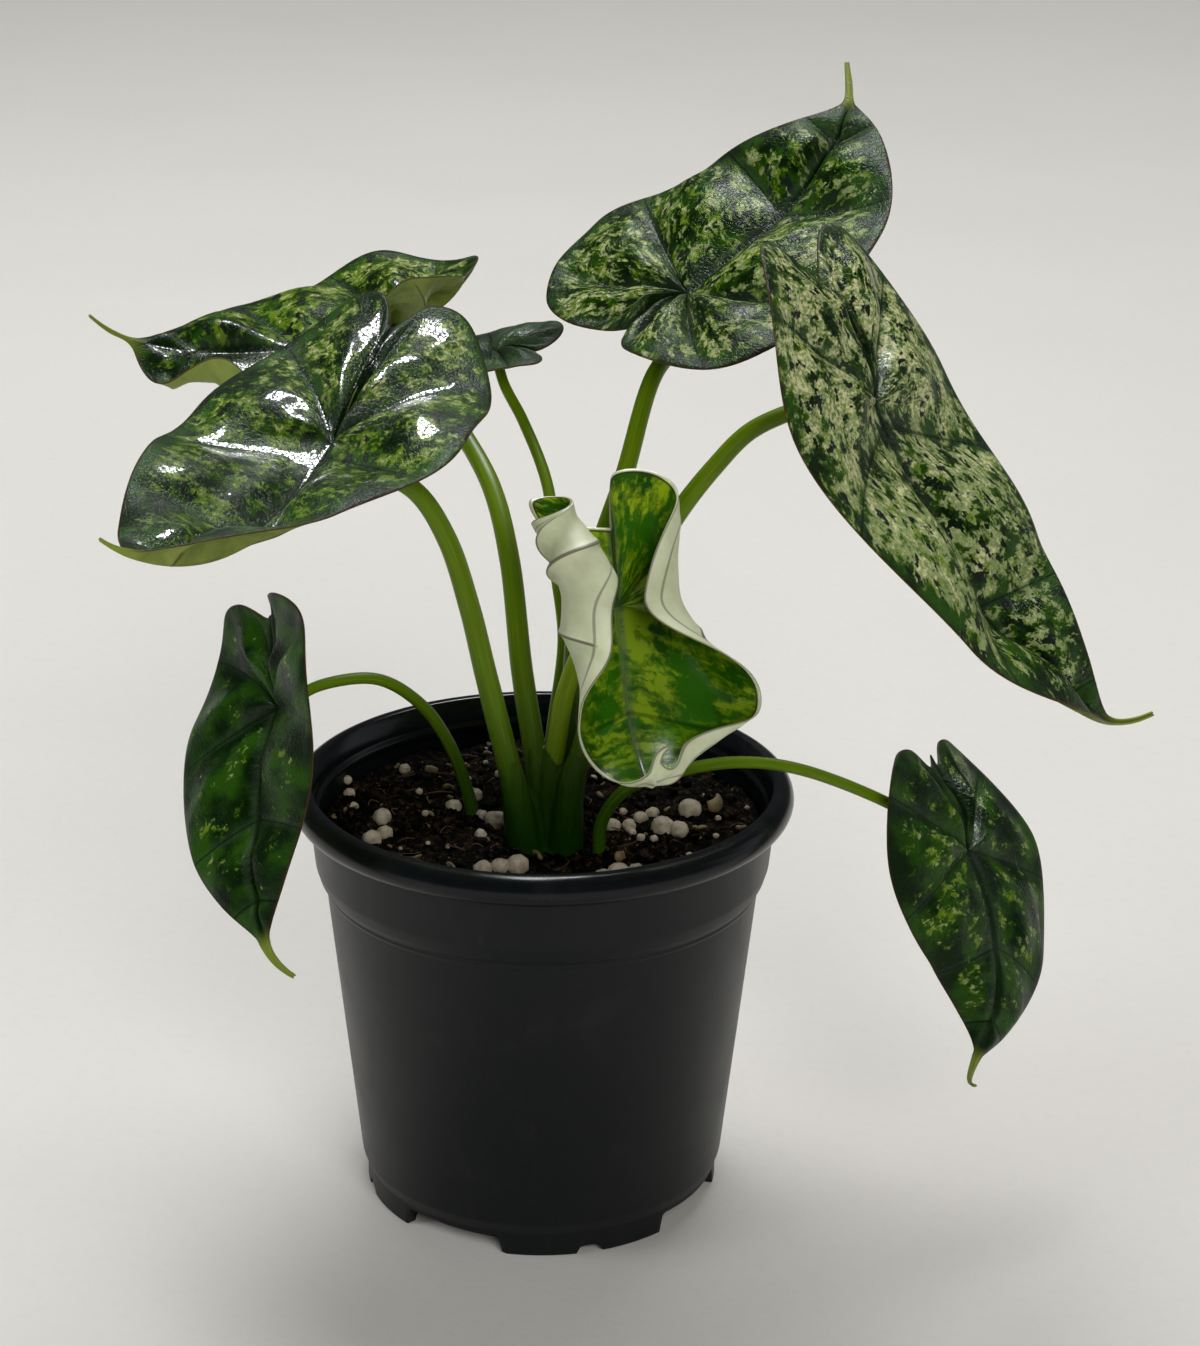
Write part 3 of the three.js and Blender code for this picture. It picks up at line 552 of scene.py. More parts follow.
def spaced(line, step):
    """Evenly spaced points along a line, with the share of its length that each has."""
    lengths = np.concatenate([[0], np.cumsum(np.linalg.norm(np.diff(line, axis=0), axis=1))])
    count = max(2, math.ceil(lengths[-1] / step) + 1)
    at = np.linspace(0, lengths[-1], count)
    points = np.stack([np.interp(at, lengths, line[:, axis]) for axis in range(3)], axis=-1)
    return points, at / lengths[-1]


def tube(line, radii, sides, stretch=None):
    """A closed tube with a radius at each point of its line; stretch widens or flattens it one way."""
    tangents = np.gradient(line, axis=0)
    tangents /= np.linalg.norm(tangents, axis=1)[:, None]
    side = np.cross(tangents[0], (0.3, 1, 0.1))
    rings = []
    for centre, tangent, radius in zip(line, tangents, radii):
        side = side - tangent * side.dot(tangent)
        side /= np.linalg.norm(side)
        other = np.cross(tangent, side)
        angles = np.arange(sides) * 2 * math.pi / sides
        spokes = np.outer(np.cos(angles), side) + np.outer(np.sin(angles), other)
        if stretch is not None:
            spokes = spokes + np.outer(spokes @ stretch[0], stretch[0]) * stretch[1]
        rings.append(centre + spokes * radius)
    points = np.concatenate([*rings, line[:1], line[-1:]])
    faces = []
    for i in range(len(line) - 1):
        for j in range(sides):
            a, b = i * sides + j, i * sides + (j + 1) % sides
            faces.append((a, b, b + sides, a + sides))
    first, last = len(points) - 2, len(points) - 1
    top = (len(line) - 1) * sides
    for j in range(sides):
        k = (j + 1) % sides
        faces.append((first, k, j))
        faces.append((last, top + j, top + k))
    return points, faces


# Leaves
class Leaf:
    """One leaf, bent from its flat outline the way its solid is."""

    def __init__(self, name, values):
        self.name = name
        self.__dict__.update(LEAF_DEFAULTS)
        self.__dict__.update(values)
        self.table = self.midrib_table()

    def outline(self, side):
        width = self.half * self.wide[side]
        points = []
        for x, y in OUTLINE:
            if x < 0:
                out = y * width - x * self.back * self.splay[side]
                points.append((x * self.back * self.lobe[side], max(SINUS_SLIT, out)))
            else:
                growth = (self.full[side] - 1) * ((x - 0.25) / 0.6 + 0.1) if x > 0.25 else 0
                points.append((x * self.front, y * width * (1 + growth)))
        points[0] = (-self.sinus * self.back, 0)
        for i, y in enumerate(DRIP_HALF_WIDTHS):
            points.append((self.front + self.drip[0] * i / 2, y))
        return np.array(points)

    def margin(self, side, u):
        """The flat margin at shares u of its length, from the sinus to the end of the tip."""
        points = self.outline(side)
        spans = len(points) - 1
        i = np.clip(np.floor(u * spans).astype(int), 0, spans - 1)
        f = (u * spans - i)[:, None]
        more = np.vstack([2 * points[0] - points[1], points, 2 * points[-1] - points[-2]])
        p0, p1, p2, p3 = (more[i + k] for k in range(4))
        bend = (2 * p0 - 5 * p1 + 4 * p2 - p3) * f**2 + (3 * p1 - p0 - 3 * p2 + p3) * f**3
        return 0.5 * (2 * p1 + (p2 - p0) * f + bend)

    def midrib_table(self):
        """The bent midrib at closely spaced places: its points and directions."""
        tip_length, tip_turn, tip_swing = self.drip
        x = np.linspace(-1.2 * self.back, self.front + tip_length + 1, 1200)
        reach = np.where(x < 0, -x / self.back, x / self.front)
        ahead = np.clip(reach, 0, 1) ** self.arch_power
        arch = np.where(x < 0, -self.arch[0] * np.abs(reach) ** 1.5, self.arch[1] * ahead)
        from_x = DRIP_FROM * self.front
        into = np.clip((x - from_x) / (self.front + tip_length - from_x), 0, 1)
        rise = radians(arch + tip_turn * into)
        sweep = np.where(x < 0, 0, self.sweep * np.clip(reach, 0, 1.1) ** 2)
        swing = radians(sweep + tip_swing * np.clip((x - self.front) / tip_length, 0, 1))
        along = np.stack([np.cos(rise) * np.cos(swing), np.cos(rise) * np.sin(swing), np.sin(rise)], -1)
        level = np.stack([-np.sin(swing), np.cos(swing), np.zeros_like(swing)], -1)
        twist = radians(self.twist * np.clip(x / self.front, -0.5, 1))[:, None]
        across = level * np.cos(twist) + np.cross(along, level) * np.sin(twist)
        step = x[1] - x[0]
        line = np.concatenate([[np.zeros(3)], np.cumsum((along[1:] + along[:-1]) / 2 * step, axis=0)])
        start = np.array([np.interp(0, x, line[:, axis]) for axis in range(3)])
        return x, line - start, across, np.cross(along, across)

    def look_up(self, x):
        table_x, *columns = self.table
        return [
            np.stack([np.interp(x, table_x, column[:, axis]) for axis in range(3)], axis=-1)
            for column in columns
        ]

    def station(self, values, x):
        """A value at the lobe's end, the stalk, half way and the tip, eased between them."""
        at = (-self.back, 0, self.front / 2, self.front)
        result = np.full_like(x, values[0], dtype=float)
        for start, end, low, high in zip(at, at[1:], values, values[1:]):
            result += (high - low) * smoothstep(x, start, end)
        return result

    def bent(self, side, x, y, height):
        """Takes flat points of one side, with heights above the blade, to the bent blade."""
        point, across, up = self.look_up(x)
        sign = 1 if side == 0 else -1
        fold = self.station(self.fold, x) + self.station(self.dip[side], x)
        curl = self.station(self.curl[side], x)
        flat = self.station(self.flat[side], x)

        def slope(share):
            beyond = np.maximum(0, (share * y / self.half - flat) / (1 - flat))
            return radians(fold + curl * beyond**self.curl_power)

        shares = (np.arange(CURL_SAMPLES) + 0.5) / CURL_SAMPLES
        angles = [slope(share) for share in shares]
        out = sum(np.cos(angle) for angle in angles) * y / CURL_SAMPLES
        lift = sum(np.sin(angle) for angle in angles) * y / CURL_SAMPLES
        edge = np.where(y > 0, slope(1), 0)[:, None]
        normal = up * np.cos(edge) - across * sign * np.sin(edge)
        place = point + across * (sign * out)[:, None] + up * lift[:, None]
        return place + normal * height[:, None]

    def posed(self, points):
        """Takes points of the bent blade to their place on the plant."""
        heading, pitch, roll = radians((self.heading, self.pitch, self.roll))
        along = np.array(
            [math.cos(pitch) * math.cos(heading), math.cos(pitch) * math.sin(heading), math.sin(pitch)]
        )
        level = np.array([-math.sin(heading), math.cos(heading), 0])
        across = level * math.cos(roll) + np.cross(along, level) * math.sin(roll)
        basis = np.stack([along, across, np.cross(along, across)])
        return points @ basis + np.array(self.at)

    def rib_start(self, u):
        starts = [self.margin(side, u) @ np.array([1, -RIB_SLANT]) for side in (0, 1)]
        return np.maximum(0, (starts[0] + starts[1]) / 2)


def blade_columns():
    """Shares along the margin of a blade's columns, with the side vein interval of each."""
    stops = (0, *VEINS, 1)
    shares, intervals, within = [], [], []
    for i, count in enumerate(VEIN_COLUMNS):
        last = i == len(VEIN_COLUMNS) - 1
        for j in range(count + (1 if last else 0)):
            even = j / count
            share = 0.5 * even + 0.5 * (0.5 - 0.5 * math.cos(math.pi * even))
            shares.append(stops[i] + (stops[i + 1] - stops[i]) * share)
            intervals.append(i)
            within.append(share)
    return np.array(shares), np.array(intervals), np.array(within)


def side_grid(leaf, side):
    """Flat places of one side in columns that run like its side veins, with their distances."""
    u, interval, within = blade_columns()
    v = np.linspace(0, 1, RIB_ROWS + 1) ** ROW_CROWDING
    end, start_x = leaf.margin(side, u), leaf.rib_start(u)
    bow = np.where(u == 0, 0, RIB_BOW)[:, None] * v * (1 - v)
    x = start_x[:, None] + (end[:, :1] - start_x[:, None]) * v - bow * end[:, 1:]
    y = np.maximum(0.3 * end[:, 1:] * v, end[:, 1:] * v + bow * (end[:, :1] - start_x[:, None]))
    y[:, 0] = 0
    rib_length = np.hypot(end[:, 0] - start_x, end[:, 1])

    stops = np.array([0, *VEINS, 1])
    stop_end, stop_start = leaf.margin(side, stops), leaf.rib_start(stops)
    stop_x = stop_start[:, None] + (stop_end[:, :1] - stop_start[:, None]) * v
    spacing = np.hypot(np.diff(stop_x, axis=0), np.diff(stop_end[:, 1:] * v, axis=0))
    along = (interval + within)[:, None] * VEIN_PITCH + 0 * x
    return SimpleNamespace(
        u=u, v=v, interval=interval, within=within, x=x, y=y, rib_length=rib_length,
        vein=np.minimum(within, 1 - within)[:, None] * spacing[interval],
        edge=(1 - v) * rib_length[:, None],
        flow=np.stack([along, v * rib_length[:, None], 0 * x + 37 * side], axis=-1),
    )


def blade_relief(leaf, side, sizes, grid, seed, ends):
    """Height of one side's quilting and of the small waves in it."""
    across = (np.sin(np.pi * grid.within) ** 2 + 0.01) ** 0.4 - 0.01**0.4
    along = np.sin(np.pi * grid.v**0.85)
    along[0] = along[-1] = 0
    pillow = np.array([
        [noise.noise(Vector((3.1 * i + 0.9 * w, b * 0.11, seed + 7 * side))) for b in grid.v * reach]
        for i, w, reach in zip(grid.interval, grid.within, grid.rib_length)
    ])
    puff = sizes.quilt_height / MM * leaf.quilt * leaf.half / 40 * (1 + 0.5 * pillow)
    calm_tip = 1 - smoothstep(grid.x / leaf.front, 0.8, 0.97)
    quilting = puff * (across * ends)[:, None] * along * calm_tip

    steps = grid.flow[..., :2].reshape(-1, 2) * (0.22, 0.1)
    ripple = np.array([noise.noise(Vector((*step, seed + side))) for step in steps]).reshape(grid.x.shape)
    calm = smoothstep(grid.vein, 0.3, 3) * smoothstep(grid.edge, 0, 3) * smoothstep(grid.y, 0, 4)
    calm = calm * calm_tip
    return quilting + sizes.ripple / MM * ripple * calm * (1 - 0.6 * leaf.young)


def blade_side(leaf, side, sizes):
    """Points of one side's two faces, and the measures that its colours are drawn from."""
    grid = side_grid(leaf, side)
    x, y, vein, edge = grid.x, grid.y, grid.vein, grid.edge
    seed = LEAF_SEED_STEP * list(LEAVES).index(leaf.name)
    ends = smoothstep(grid.u, 0, 0.1) * (1 - smoothstep(grid.u, 0.88, 0.97))
    height = blade_relief(leaf, side, sizes, grid, seed, ends)

    taper = smoothstep(x, -0.9 * leaf.back, 0) * (1 - 0.75 * smoothstep(x, 0, leaf.front))
    groove = 0.45 * np.exp(-((y / 1.1) ** 2)) * taper * (1 - leaf.young)
    thick = sizes.blade_thickness / MM / 2 * (0.45 + 0.55 * smoothstep(edge, 0, 1.5))
    vein_ridge = sizes.vein_ridge / MM * np.exp(-((vein / 0.7) ** 2))
    vein_ridge = vein_ridge * smoothstep(edge, 0, 12) * ends[:, None]
    mid_ridge = sizes.midrib_ridge / MM * np.exp(-((y / 1.3) ** 2)) * taper
    shapes = (height + thick - groove, height - thick - np.maximum(vein_ridge, mid_ridge))
    points = [leaf.bent(side, x.ravel(), y.ravel(), shape.ravel()) for shape in shapes]

    ones = np.ones(x.size)
    measures = {
        "vein": vein.ravel(), "rib": y.ravel(), "edge": edge.ravel(),
        "ahead": (x / leaf.front).ravel(),
        "flow": (grid.flow + np.array([seed, 0, seed])).reshape(-1, 3),
        "flat": np.stack([x.ravel(), y.ravel() * (1 - 2 * side), seed * ones], -1),
    }
    for key in LOOKS:
        measures[key] = getattr(leaf, key) * ones
    return points, measures, x.shape


def blade_mesh(leaf, sizes):
    """The closed blade: points, faces and measures, with both faces of both sides sewn together."""
    points, faces, measures = [], [], {}
    count = 0
    for side in (0, 1):
        (top, under), values, (columns, rows) = blade_side(leaf, side, sizes)
        grid = np.arange(columns * rows).reshape(columns, rows)
        for face, cloud in enumerate((top, under)):
            points.append(cloud)
            for key, value in values.items():
                measures.setdefault(key, []).append(value)
            measures.setdefault("under", []).append(np.full(len(cloud), float(face)))
            at = grid + count
            quads = np.stack([at[:-1, :-1], at[1:, :-1], at[1:, 1:], at[:-1, 1:]], -1).reshape(-1, 4)
            if (side == 0) == (face == 1):
                quads = quads[:, ::-1]
            faces.append(quads)
            count += columns * rows
        upper = grid + count - 2 * columns * rows
        lower = grid + count - columns * rows
        rim = np.stack([upper[:-1, -1], upper[1:, -1], lower[1:, -1], lower[:-1, -1]], -1)
        cap = np.stack([upper[-1, :-1], lower[-1, :-1], lower[-1, 1:], upper[-1, 1:]], -1)
        strips = np.concatenate([rim, cap])
        faces.append(strips if side == 0 else strips[:, ::-1])
    measures = {key: np.concatenate(parts) for key, parts in measures.items()}
    return np.concatenate(points), np.concatenate(faces), measures


def merged(points, faces, measures, closeness=0.01):
    """Joins points that share a place, and drops faces that have shrunk to a line."""
    keys = np.round(points / closeness).astype(np.int64)
    _, first, inverse = np.unique(keys, axis=0, return_index=True, return_inverse=True)
    inverse = inverse.ravel()
    kept = []
    for face in faces:
        corners = list(dict.fromkeys(int(inverse[i]) for i in face))
        if len(corners) > 2:
            kept.append(tuple(corners))
    return points[first], kept, {key: values[first] for key, values in measures.items()}


def stem_start(leaf):
    """Where a leaf's sheath ends, and the direction in which its stem goes on from there."""
    start = np.array([*leaf.stem[0], STEM_START], float)
    rise = np.array(leaf.stem[1], float) - start
    return start, rise / np.linalg.norm(rise)


def stem_line(leaf):
    """The middle of a stem, from inside its sheath or the mix to its blade."""
    near, under = (leaf.posed(np.array([[0, 0, -depth]]))[0] for depth in (STALK_DEPTH, STALK_END_DEPTH))
    if leaf.root:
        foot = np.array([*leaf.root, SOIL_TOP - ROOT_DEPTH], float)
        way = [foot, foot + np.array([0, 0, ROOT_DEPTH - 1]), *leaf.stem]
    else:
        start, rise = stem_start(leaf)
        way = [start - STEM_HIDDEN * rise, start - SHEATH_CLOSE * rise, start, *leaf.stem[1:]]
    return spline([*way, near, under])


def sheath(leaf):
    """The sheathing base of a stem, from inside the crown to the free stem."""
    end, rise = stem_start(leaf)
    root = np.array([*CROWN_AT, SHEATH_ROOT_Z], float)
    root[:2] += SHEATH_SPREAD * (end[:2] - root[:2])
    line, share = spaced(spline([root, end - SHEATH_STRAIGHT * rise, end + SHEATH_CLOSE * rise]), 0.8)
    tip = leaf.stem_radius[0]
    base = min(SHEATH_RADIUS, 2 * tip)
    return tube(line, base + (0.82 * tip - base) * share**0.7, 40)


# Soil
def soil_height(x, y):
    wave = math.sin(0.16 * x + 1.3) * math.cos(0.14 * y - 0.4) + 0.5 * math.sin(0.22 * x - 0.19 * y)
    return SOIL_TOP + SOIL_LUMP * wave


def crumb(x, y):
    """Height of the crumbs of the mix, as a share of the grain, from several sizes of lumps."""
    total = 0
    for scale, weight in ((0.16, 0.45), (0.42, 0.6), (0.95, 0.45), (1.9, 0.25)):
        total += weight * noise.noise(Vector((x * scale, y * scale, 7 * scale)))
    return total


def unit_ball(subdivisions):
    """Points and faces of a unit ball of triangles."""
    ball = bmesh.new()
    bmesh.ops.create_icosphere(ball, subdivisions=subdivisions, radius=1)
    points = np.array([tuple(v.co) for v in ball.verts])
    faces = [tuple(v.index for v in f.verts) for f in ball.faces]
    ball.free()
    return points, faces


def lump(ball, centre, radius, seed, flatness=0.85, rough=0.2):
    """A rounded crumb with a lumpy surface, in millimetres."""
    points, faces = ball
    turn = np.array(Matrix.Rotation(seed * 2.3, 3, "Z") @ Matrix.Rotation(seed * 1.7, 3, "X"))
    shift, fine_shift = Vector((seed * 3.1, 0, 0)), Vector((0, seed, 0))
    broad = np.array([noise.noise(Vector(p) * 1.6 + shift) for p in points])
    fine = np.array([noise.noise(Vector(p) * 5 + fine_shift) for p in points])
    bulge = 1 + rough * broad + 0.4 * rough * fine
    placed = (points * bulge[:, None]) @ turn.T * np.array([1, 1, flatness])
    return placed * radius + np.array(centre), faces


def bark_flake(centre, reach, chance):
    """A bent flake of bark that lies on the mix."""
    turn, bend = chance.uniform(0, 2 * math.pi), chance.uniform(0.6, 2.2)
    angles = np.linspace(-bend / 2, bend / 2, 9)
    radius = reach / max(bend, 1)
    wave = 0.25 * np.sin(3 * angles)
    flat = np.stack([np.sin(angles) * radius, (1 - np.cos(angles)) * radius, wave], -1)
    spin = np.array(Matrix.Rotation(turn, 3, "Z"))
    line = flat @ spin.T + np.array(centre)
    radii = 0.42 * reach * (0.45 + 0.25 * np.cos(np.linspace(-1.3, 1.3, 9)))
    lean = Vector((chance.uniform(-1, 1), chance.uniform(-1, 1), 0.35)).normalized()
    return tube(line, radii, 10, (np.array(lean), -0.62))


def fibre(centre, reach, chance):
    """A thread of root or coir that lies on the mix."""
    turn, bend = chance.uniform(0, 2 * math.pi), chance.uniform(-1.6, 1.6)
    share = np.linspace(-0.5, 0.5, 7)
    flat = np.stack([share * reach, bend * reach * (share**2 - 0.1), 0.35 * np.cos(5 * share)], -1)
    line = flat @ np.array(Matrix.Rotation(turn, 3, "Z")).T + np.array(centre)
    return tube(line, np.full(7, chance.uniform(0.1, 0.2)), 5)


# Materials
class BladeGraph(Graph):
    """A node tree with the places and the measures that every blade carries, and more by name."""

    def __init__(self, name, more=()):
        super().__init__(name)
        self.flow, self.flat = self.places("flow"), self.places("flat")
        for key in ("vein", "rib", "edge", "ahead", "under", *more):
            setattr(self, key, self.measure(key))


def fleck_cover(graph, lines):
    """A field that is a fleck where it passes 0.5: streaks and grains, thinner on veins and margin."""
    streaks = graph.patches(graph.jittered(graph.flow, 0.25, 3.0), (0.8, 0.14, 1), 5, 0.7)
    grains = graph.patches(graph.jittered(graph.flat, 0.35, 2.2), (0.26, 0.26, 1), 6, 0.68)
    islands = graph.patches(graph.flat, (0.1, 0.1, 1), 2)
    cover = streaks * graph.streak + grains * (1 - graph.streak)
    cover = cover + (islands - 0.5) * 0.34 + (graph.mottle - 0.5) * 0.25
    # Fewer flecks in the vein valleys: partly the leaf's own pattern, partly painted shade there
    valley = 1 - graph.ease(graph.vein, 0.3, 2.4)
    outskirts = 1 - graph.ease(graph.edge + (lines - 0.5) * 6, 1.5, 5.0)
    # Painted shade: fewer flecks in a darker band along the midrib groove
    beside_rib = 1 - graph.ease(graph.rib, 1, 7)
    thinner_ahead = graph.ease(graph.ahead, 0.1, 1.0) * (graph.mottle - 0.3)
    return cover - valley * 0.05 - outskirts * 0.075 - thinner_ahead * 0.18 - beside_rib * 0.035


def flecked_green(graph, colours, lines):
    """The green between the veins with its flecks and dark spots, and where the flecks are."""
    clouds = graph.patches(graph.flat, (0.09, 0.09, 1), 3)
    green = graph.mix(graph.ease(clouds, 0.4, 0.62), colours.leaf_dark, colours.leaf_green)
    cover = fleck_cover(graph, lines)
    fleck = graph.ease(cover, 0.495, 0.518)
    halo = graph.ease(cover, 0.43, 0.52)
    tint = graph.ease(graph.patches(graph.flat, (0.25, 0.25, 1), 2) + (graph.lime - 0.5) * 0.4, 0.4, 0.6)
    speck = graph.mix(tint, colours.fleck_sage, colours.fleck_lime)
    fade = graph.patches(graph.flat, (0.9, 0.9, 1), 3, 0.6)
    rim_tint = graph.mix(graph.mottle * 0.5, colours.leaf_green, colours.fleck_lime)
    paler = graph.mix(halo * 0.75, green, rim_tint)
    drifts = graph.patches(graph.flat, (0.13, 0.13, 2), 2)
    strength = 0.5 + graph.ease(fade, 0.35, 0.6) * 0.25 + graph.ease(drifts, 0.38, 0.6) * 0.25
    # The flecks are dimmed where the painted grey sheen lies over them
    mottled = graph.mix(fleck * strength * (1.06 - graph.haze * 0.45), paler, speck)

    towards_lobes = 1 - graph.ease(graph.ahead, -0.3, 0.5)
    heart = graph.ease(cover + towards_lobes * 0.045, 0.56, 0.61) * graph.ease(fade, 0.42, 0.58)
    mottled = graph.mix(heart * (graph.mottle * 1.3 - 0.1), mottled, colours.fleck_bright)
    beside_rib = (1 - graph.ease(graph.rib, 2, 14)) * 0.05
    spots = graph.ease(graph.patches(graph.flow, (0.6, 0.3, 3), 3, 0.62) + beside_rib, 0.578, 0.6)
    spot_tone = graph.mix(graph.ease(clouds, 0.45, 0.55), colours.leaf_dark, colours.spot_dark)
    return graph.mix(spots * graph.ease(graph.mottle, 0.1, 0.5), mottled, spot_tone), fleck


def grey_veins(graph, colours, mottled, lines, skin):
    """Grey-green bands along veins, midrib and margin, the leaf's own colour with painted grey sheen over
    it, with dark vein lines that are partly painted shade and a painted shadow down the midrib groove,
    and where the grey is.
    """
    # The grey bands are the leaf's own grey-green, widened and strengthened where the painted sheen share
    # is high
    near_vein = 1 - graph.ease((graph.vein + (lines - 0.5) * 2.5) / (0.6 + graph.haze * 1.6), 0.3, 2.6)
    near_rib = 1 - graph.ease(graph.rib + (lines - 0.5) * 2.5, 1.0, 3.4)
    near_edge = 1 - graph.ease(graph.edge + (lines - 0.5) * 5, 0.5, 8.0)
    bands = graph.larger(graph.larger(near_vein * 0.6, near_rib * 0.9), near_edge * graph.haze)
    # Painted sheen: grey drifts along the side veins, a reflection painted into the colour
    sheen_drift = graph.ease(graph.patches(graph.flow, (0.11, 0.03, 1), 2) + graph.haze * 0.35, 0.62, 0.9)
    grey = graph.larger(bands * (0.2 + graph.haze * 0.6), sheen_drift * graph.haze * 0.8)
    veined = graph.mix(grey, mottled, colours.vein_grey)
    # Dark lines on the side veins: partly the veins' own dark colour, partly painted shade in the vein
    # valleys
    line = 1 - graph.ease(graph.vein, 0.12, 0.4)
    veined = graph.mix(line * 0.75, veined, colours.leaf_dark)
    # Painted shadow: a nearly black line down the midrib groove
    rib_groove_shadow = 1 - graph.ease(graph.rib + (skin - 0.5) * 0.8, 0.5, 1.5)
    return graph.mix(rib_groove_shadow * 0.85, veined, colours.leaf_dark), grey


def underside(graph, colours):
    """The pale green underside with burgundy side veins."""
    shade = graph.patches(graph.flat, (0.15, 0.15, 1), 3)
    green = graph.mix(graph.ease(shade, 0.3, 0.7) * 0.35, colours.under_green, colours.leaf_green)
    line = (1 - graph.ease(graph.vein, 0.2, 0.5)) * graph.ease(graph.edge, 1.5, 4)
    return graph.mix(line * 0.7, green, colours.burgundy)


def blade_material(colours):
    """A grown blade: flecked green above, paler below, burgundy at the rim, light green at the tip."""
    graph = BladeGraph("blade", LOOKS)
    lines = graph.patches(graph.jittered(graph.flow, 0.2, 1.2), (1.6, 0.05, 1), 3, 0.6)
    skin = graph.patches(graph.flat, (1.6, 1.6, 1), 3, 0.6)
    mottled, fleck = flecked_green(graph, colours, lines)
    veined, grey = grey_veins(graph, colours, mottled, lines, skin)
    tip = graph.ease(graph.ahead, 0.93, 1.02)
    rim = 1 - graph.ease(graph.edge, 0.15, 0.45)
    upper = graph.mix(tip * 0.8, veined, colours.tip_green)
    upper = graph.mix(rim * (1 - tip) * 0.6, upper, colours.burgundy)
    lower = graph.mix(rim * 0.8, underside(graph, colours), colours.burgundy)
    lower = graph.mix(tip, lower, colours.tip_green)

    inland = graph.ease(graph.edge, 3, 10)
    ragged = graph.scaled(graph.jittered(graph.flat, 0.9, 1.0), (0.9, 0.9, 1))
    net = graph.cells(ragged, 1.0, "DISTANCE_TO_EDGE")
    wrinkle = graph.patches(graph.flow, (0.5, 0.25, 1), 3, 0.55)
    fine = graph.patches(graph.flat, (4.5, 4.5, 1), 2)
    crackle = graph.patches(graph.jittered(graph.flat, 1.0, 0.7), (1.4, 1.4, 1), 3, 0.7)
    relief = graph.ease(net, 0.0, 0.2) * 0.45 + skin + wrinkle * 0.9 + fine * 0.35
    upper_shine = graph.shine * (1 - graph.under)
    wet = upper_shine * inland * graph.ease(crackle, 0.46, 0.53) * graph.ease(net, 0.04, 0.13)
    return graph.surface(
        Base_Color=graph.mix(graph.under, upper, lower),
        Roughness=0.34 - inland * 0.14 + fleck * 0.04 + grey * 0.1 + skin * 0.05 + graph.under * 0.15,
        Normal=graph.bump(relief, 0.00016, 0.9),
        Specular_IOR_Level=0.11,
        Coat_Weight=wet,
        Coat_Roughness=0.06,
        Coat_IOR=2.2,
        Subsurface_Weight=0.04,
        Subsurface_Radius=(0.4, 1.0, 0.2),
        Subsurface_Scale=0.001,
    )


def young_material(colours):
    """Bright green above with lime streaks, pale mint below with burgundy veins and margin."""
    graph = BladeGraph("young_blade")
    streaks = graph.patches(graph.jittered(graph.flow, 0.3, 2.0), (0.5, 0.08, 1), 4, 0.6)
    clouds = graph.patches(graph.flat, (0.09, 0.09, 1), 2)
    blotches = graph.patches(graph.jittered(graph.flat, 0.3, 2.0), (0.2, 0.2, 1), 4, 0.65)
    cover = streaks * 0.55 + blotches * 0.2 + clouds * 0.25 + (1 - graph.ease(graph.rib, 2, 16)) * 0.03
    share = graph.ease(cover, 0.47, 0.56) * 0.6 + graph.ease(cover, 0.54, 0.57) * 0.4
    deep = graph.mix(graph.ease(clouds, 0.4, 0.6), colours.young_green, colours.young_deep)
    brighter = 0.65 + (1 - graph.ease(graph.ahead, -0.7, 0.1)) * 0.35
    upper = graph.mix(share * brighter, deep, colours.young_lime)
    near_rib = 1 - graph.ease(graph.rib, 0.5, 1.6)
    upper = graph.mix(near_rib * 0.5, upper, colours.vein_grey)
    groove = 1 - graph.ease(graph.vein, 0.2, 0.7)
    upper = graph.mix(groove * 0.5, upper, colours.leaf_dark)
    mist = graph.patches(graph.flat, (0.2, 0.2, 1), 3)
    lower = graph.mix(graph.ease(mist, 0.35, 0.7) * 0.18, colours.young_under, colours.tip_green)
    reach = graph.ease(graph.edge, 3.0, 4.5)
    line = (1 - graph.ease(graph.vein, 0.28, 0.55)) * reach
    past_ring = graph.edge - MARGIN_VEIN
    ring = (1 - graph.ease(past_ring, 0.2, 0.5)) * graph.ease(past_ring, -0.5, -0.2)
    marks = graph.larger(line, ring * 0.7)
    lower = graph.mix(marks * 0.75, lower, colours.burgundy)
    seam = (1 - graph.ease(graph.edge, 0.9, 1.3)) * graph.ease(graph.edge, 0.5, 0.7)
    upper = graph.mix(seam * 0.85, upper, colours.burgundy)
    rim = (1 - graph.ease(graph.edge, 0.5, 0.7)) * (1 - graph.under)
    lower = graph.mix((1 - graph.ease(graph.edge, 0.2, 0.6)) * 0.7, lower, colours.burgundy)
    both = graph.mix(graph.under, upper, lower)
    skin = graph.patches(graph.flat, (1.8, 1.8, 1), 2)
    return graph.surface(
        Base_Color=graph.mix(rim * 0.75, both, colours.young_under),
        Roughness=0.3 + graph.under * 0.2,
        Normal=graph.bump(skin, 0.00006, 0.7),
        Specular_IOR_Level=0.3,
        Subsurface_Weight=0.15,
        Subsurface_Radius=(0.6, 1.0, 0.3),
        Subsurface_Scale=0.0015,
    )


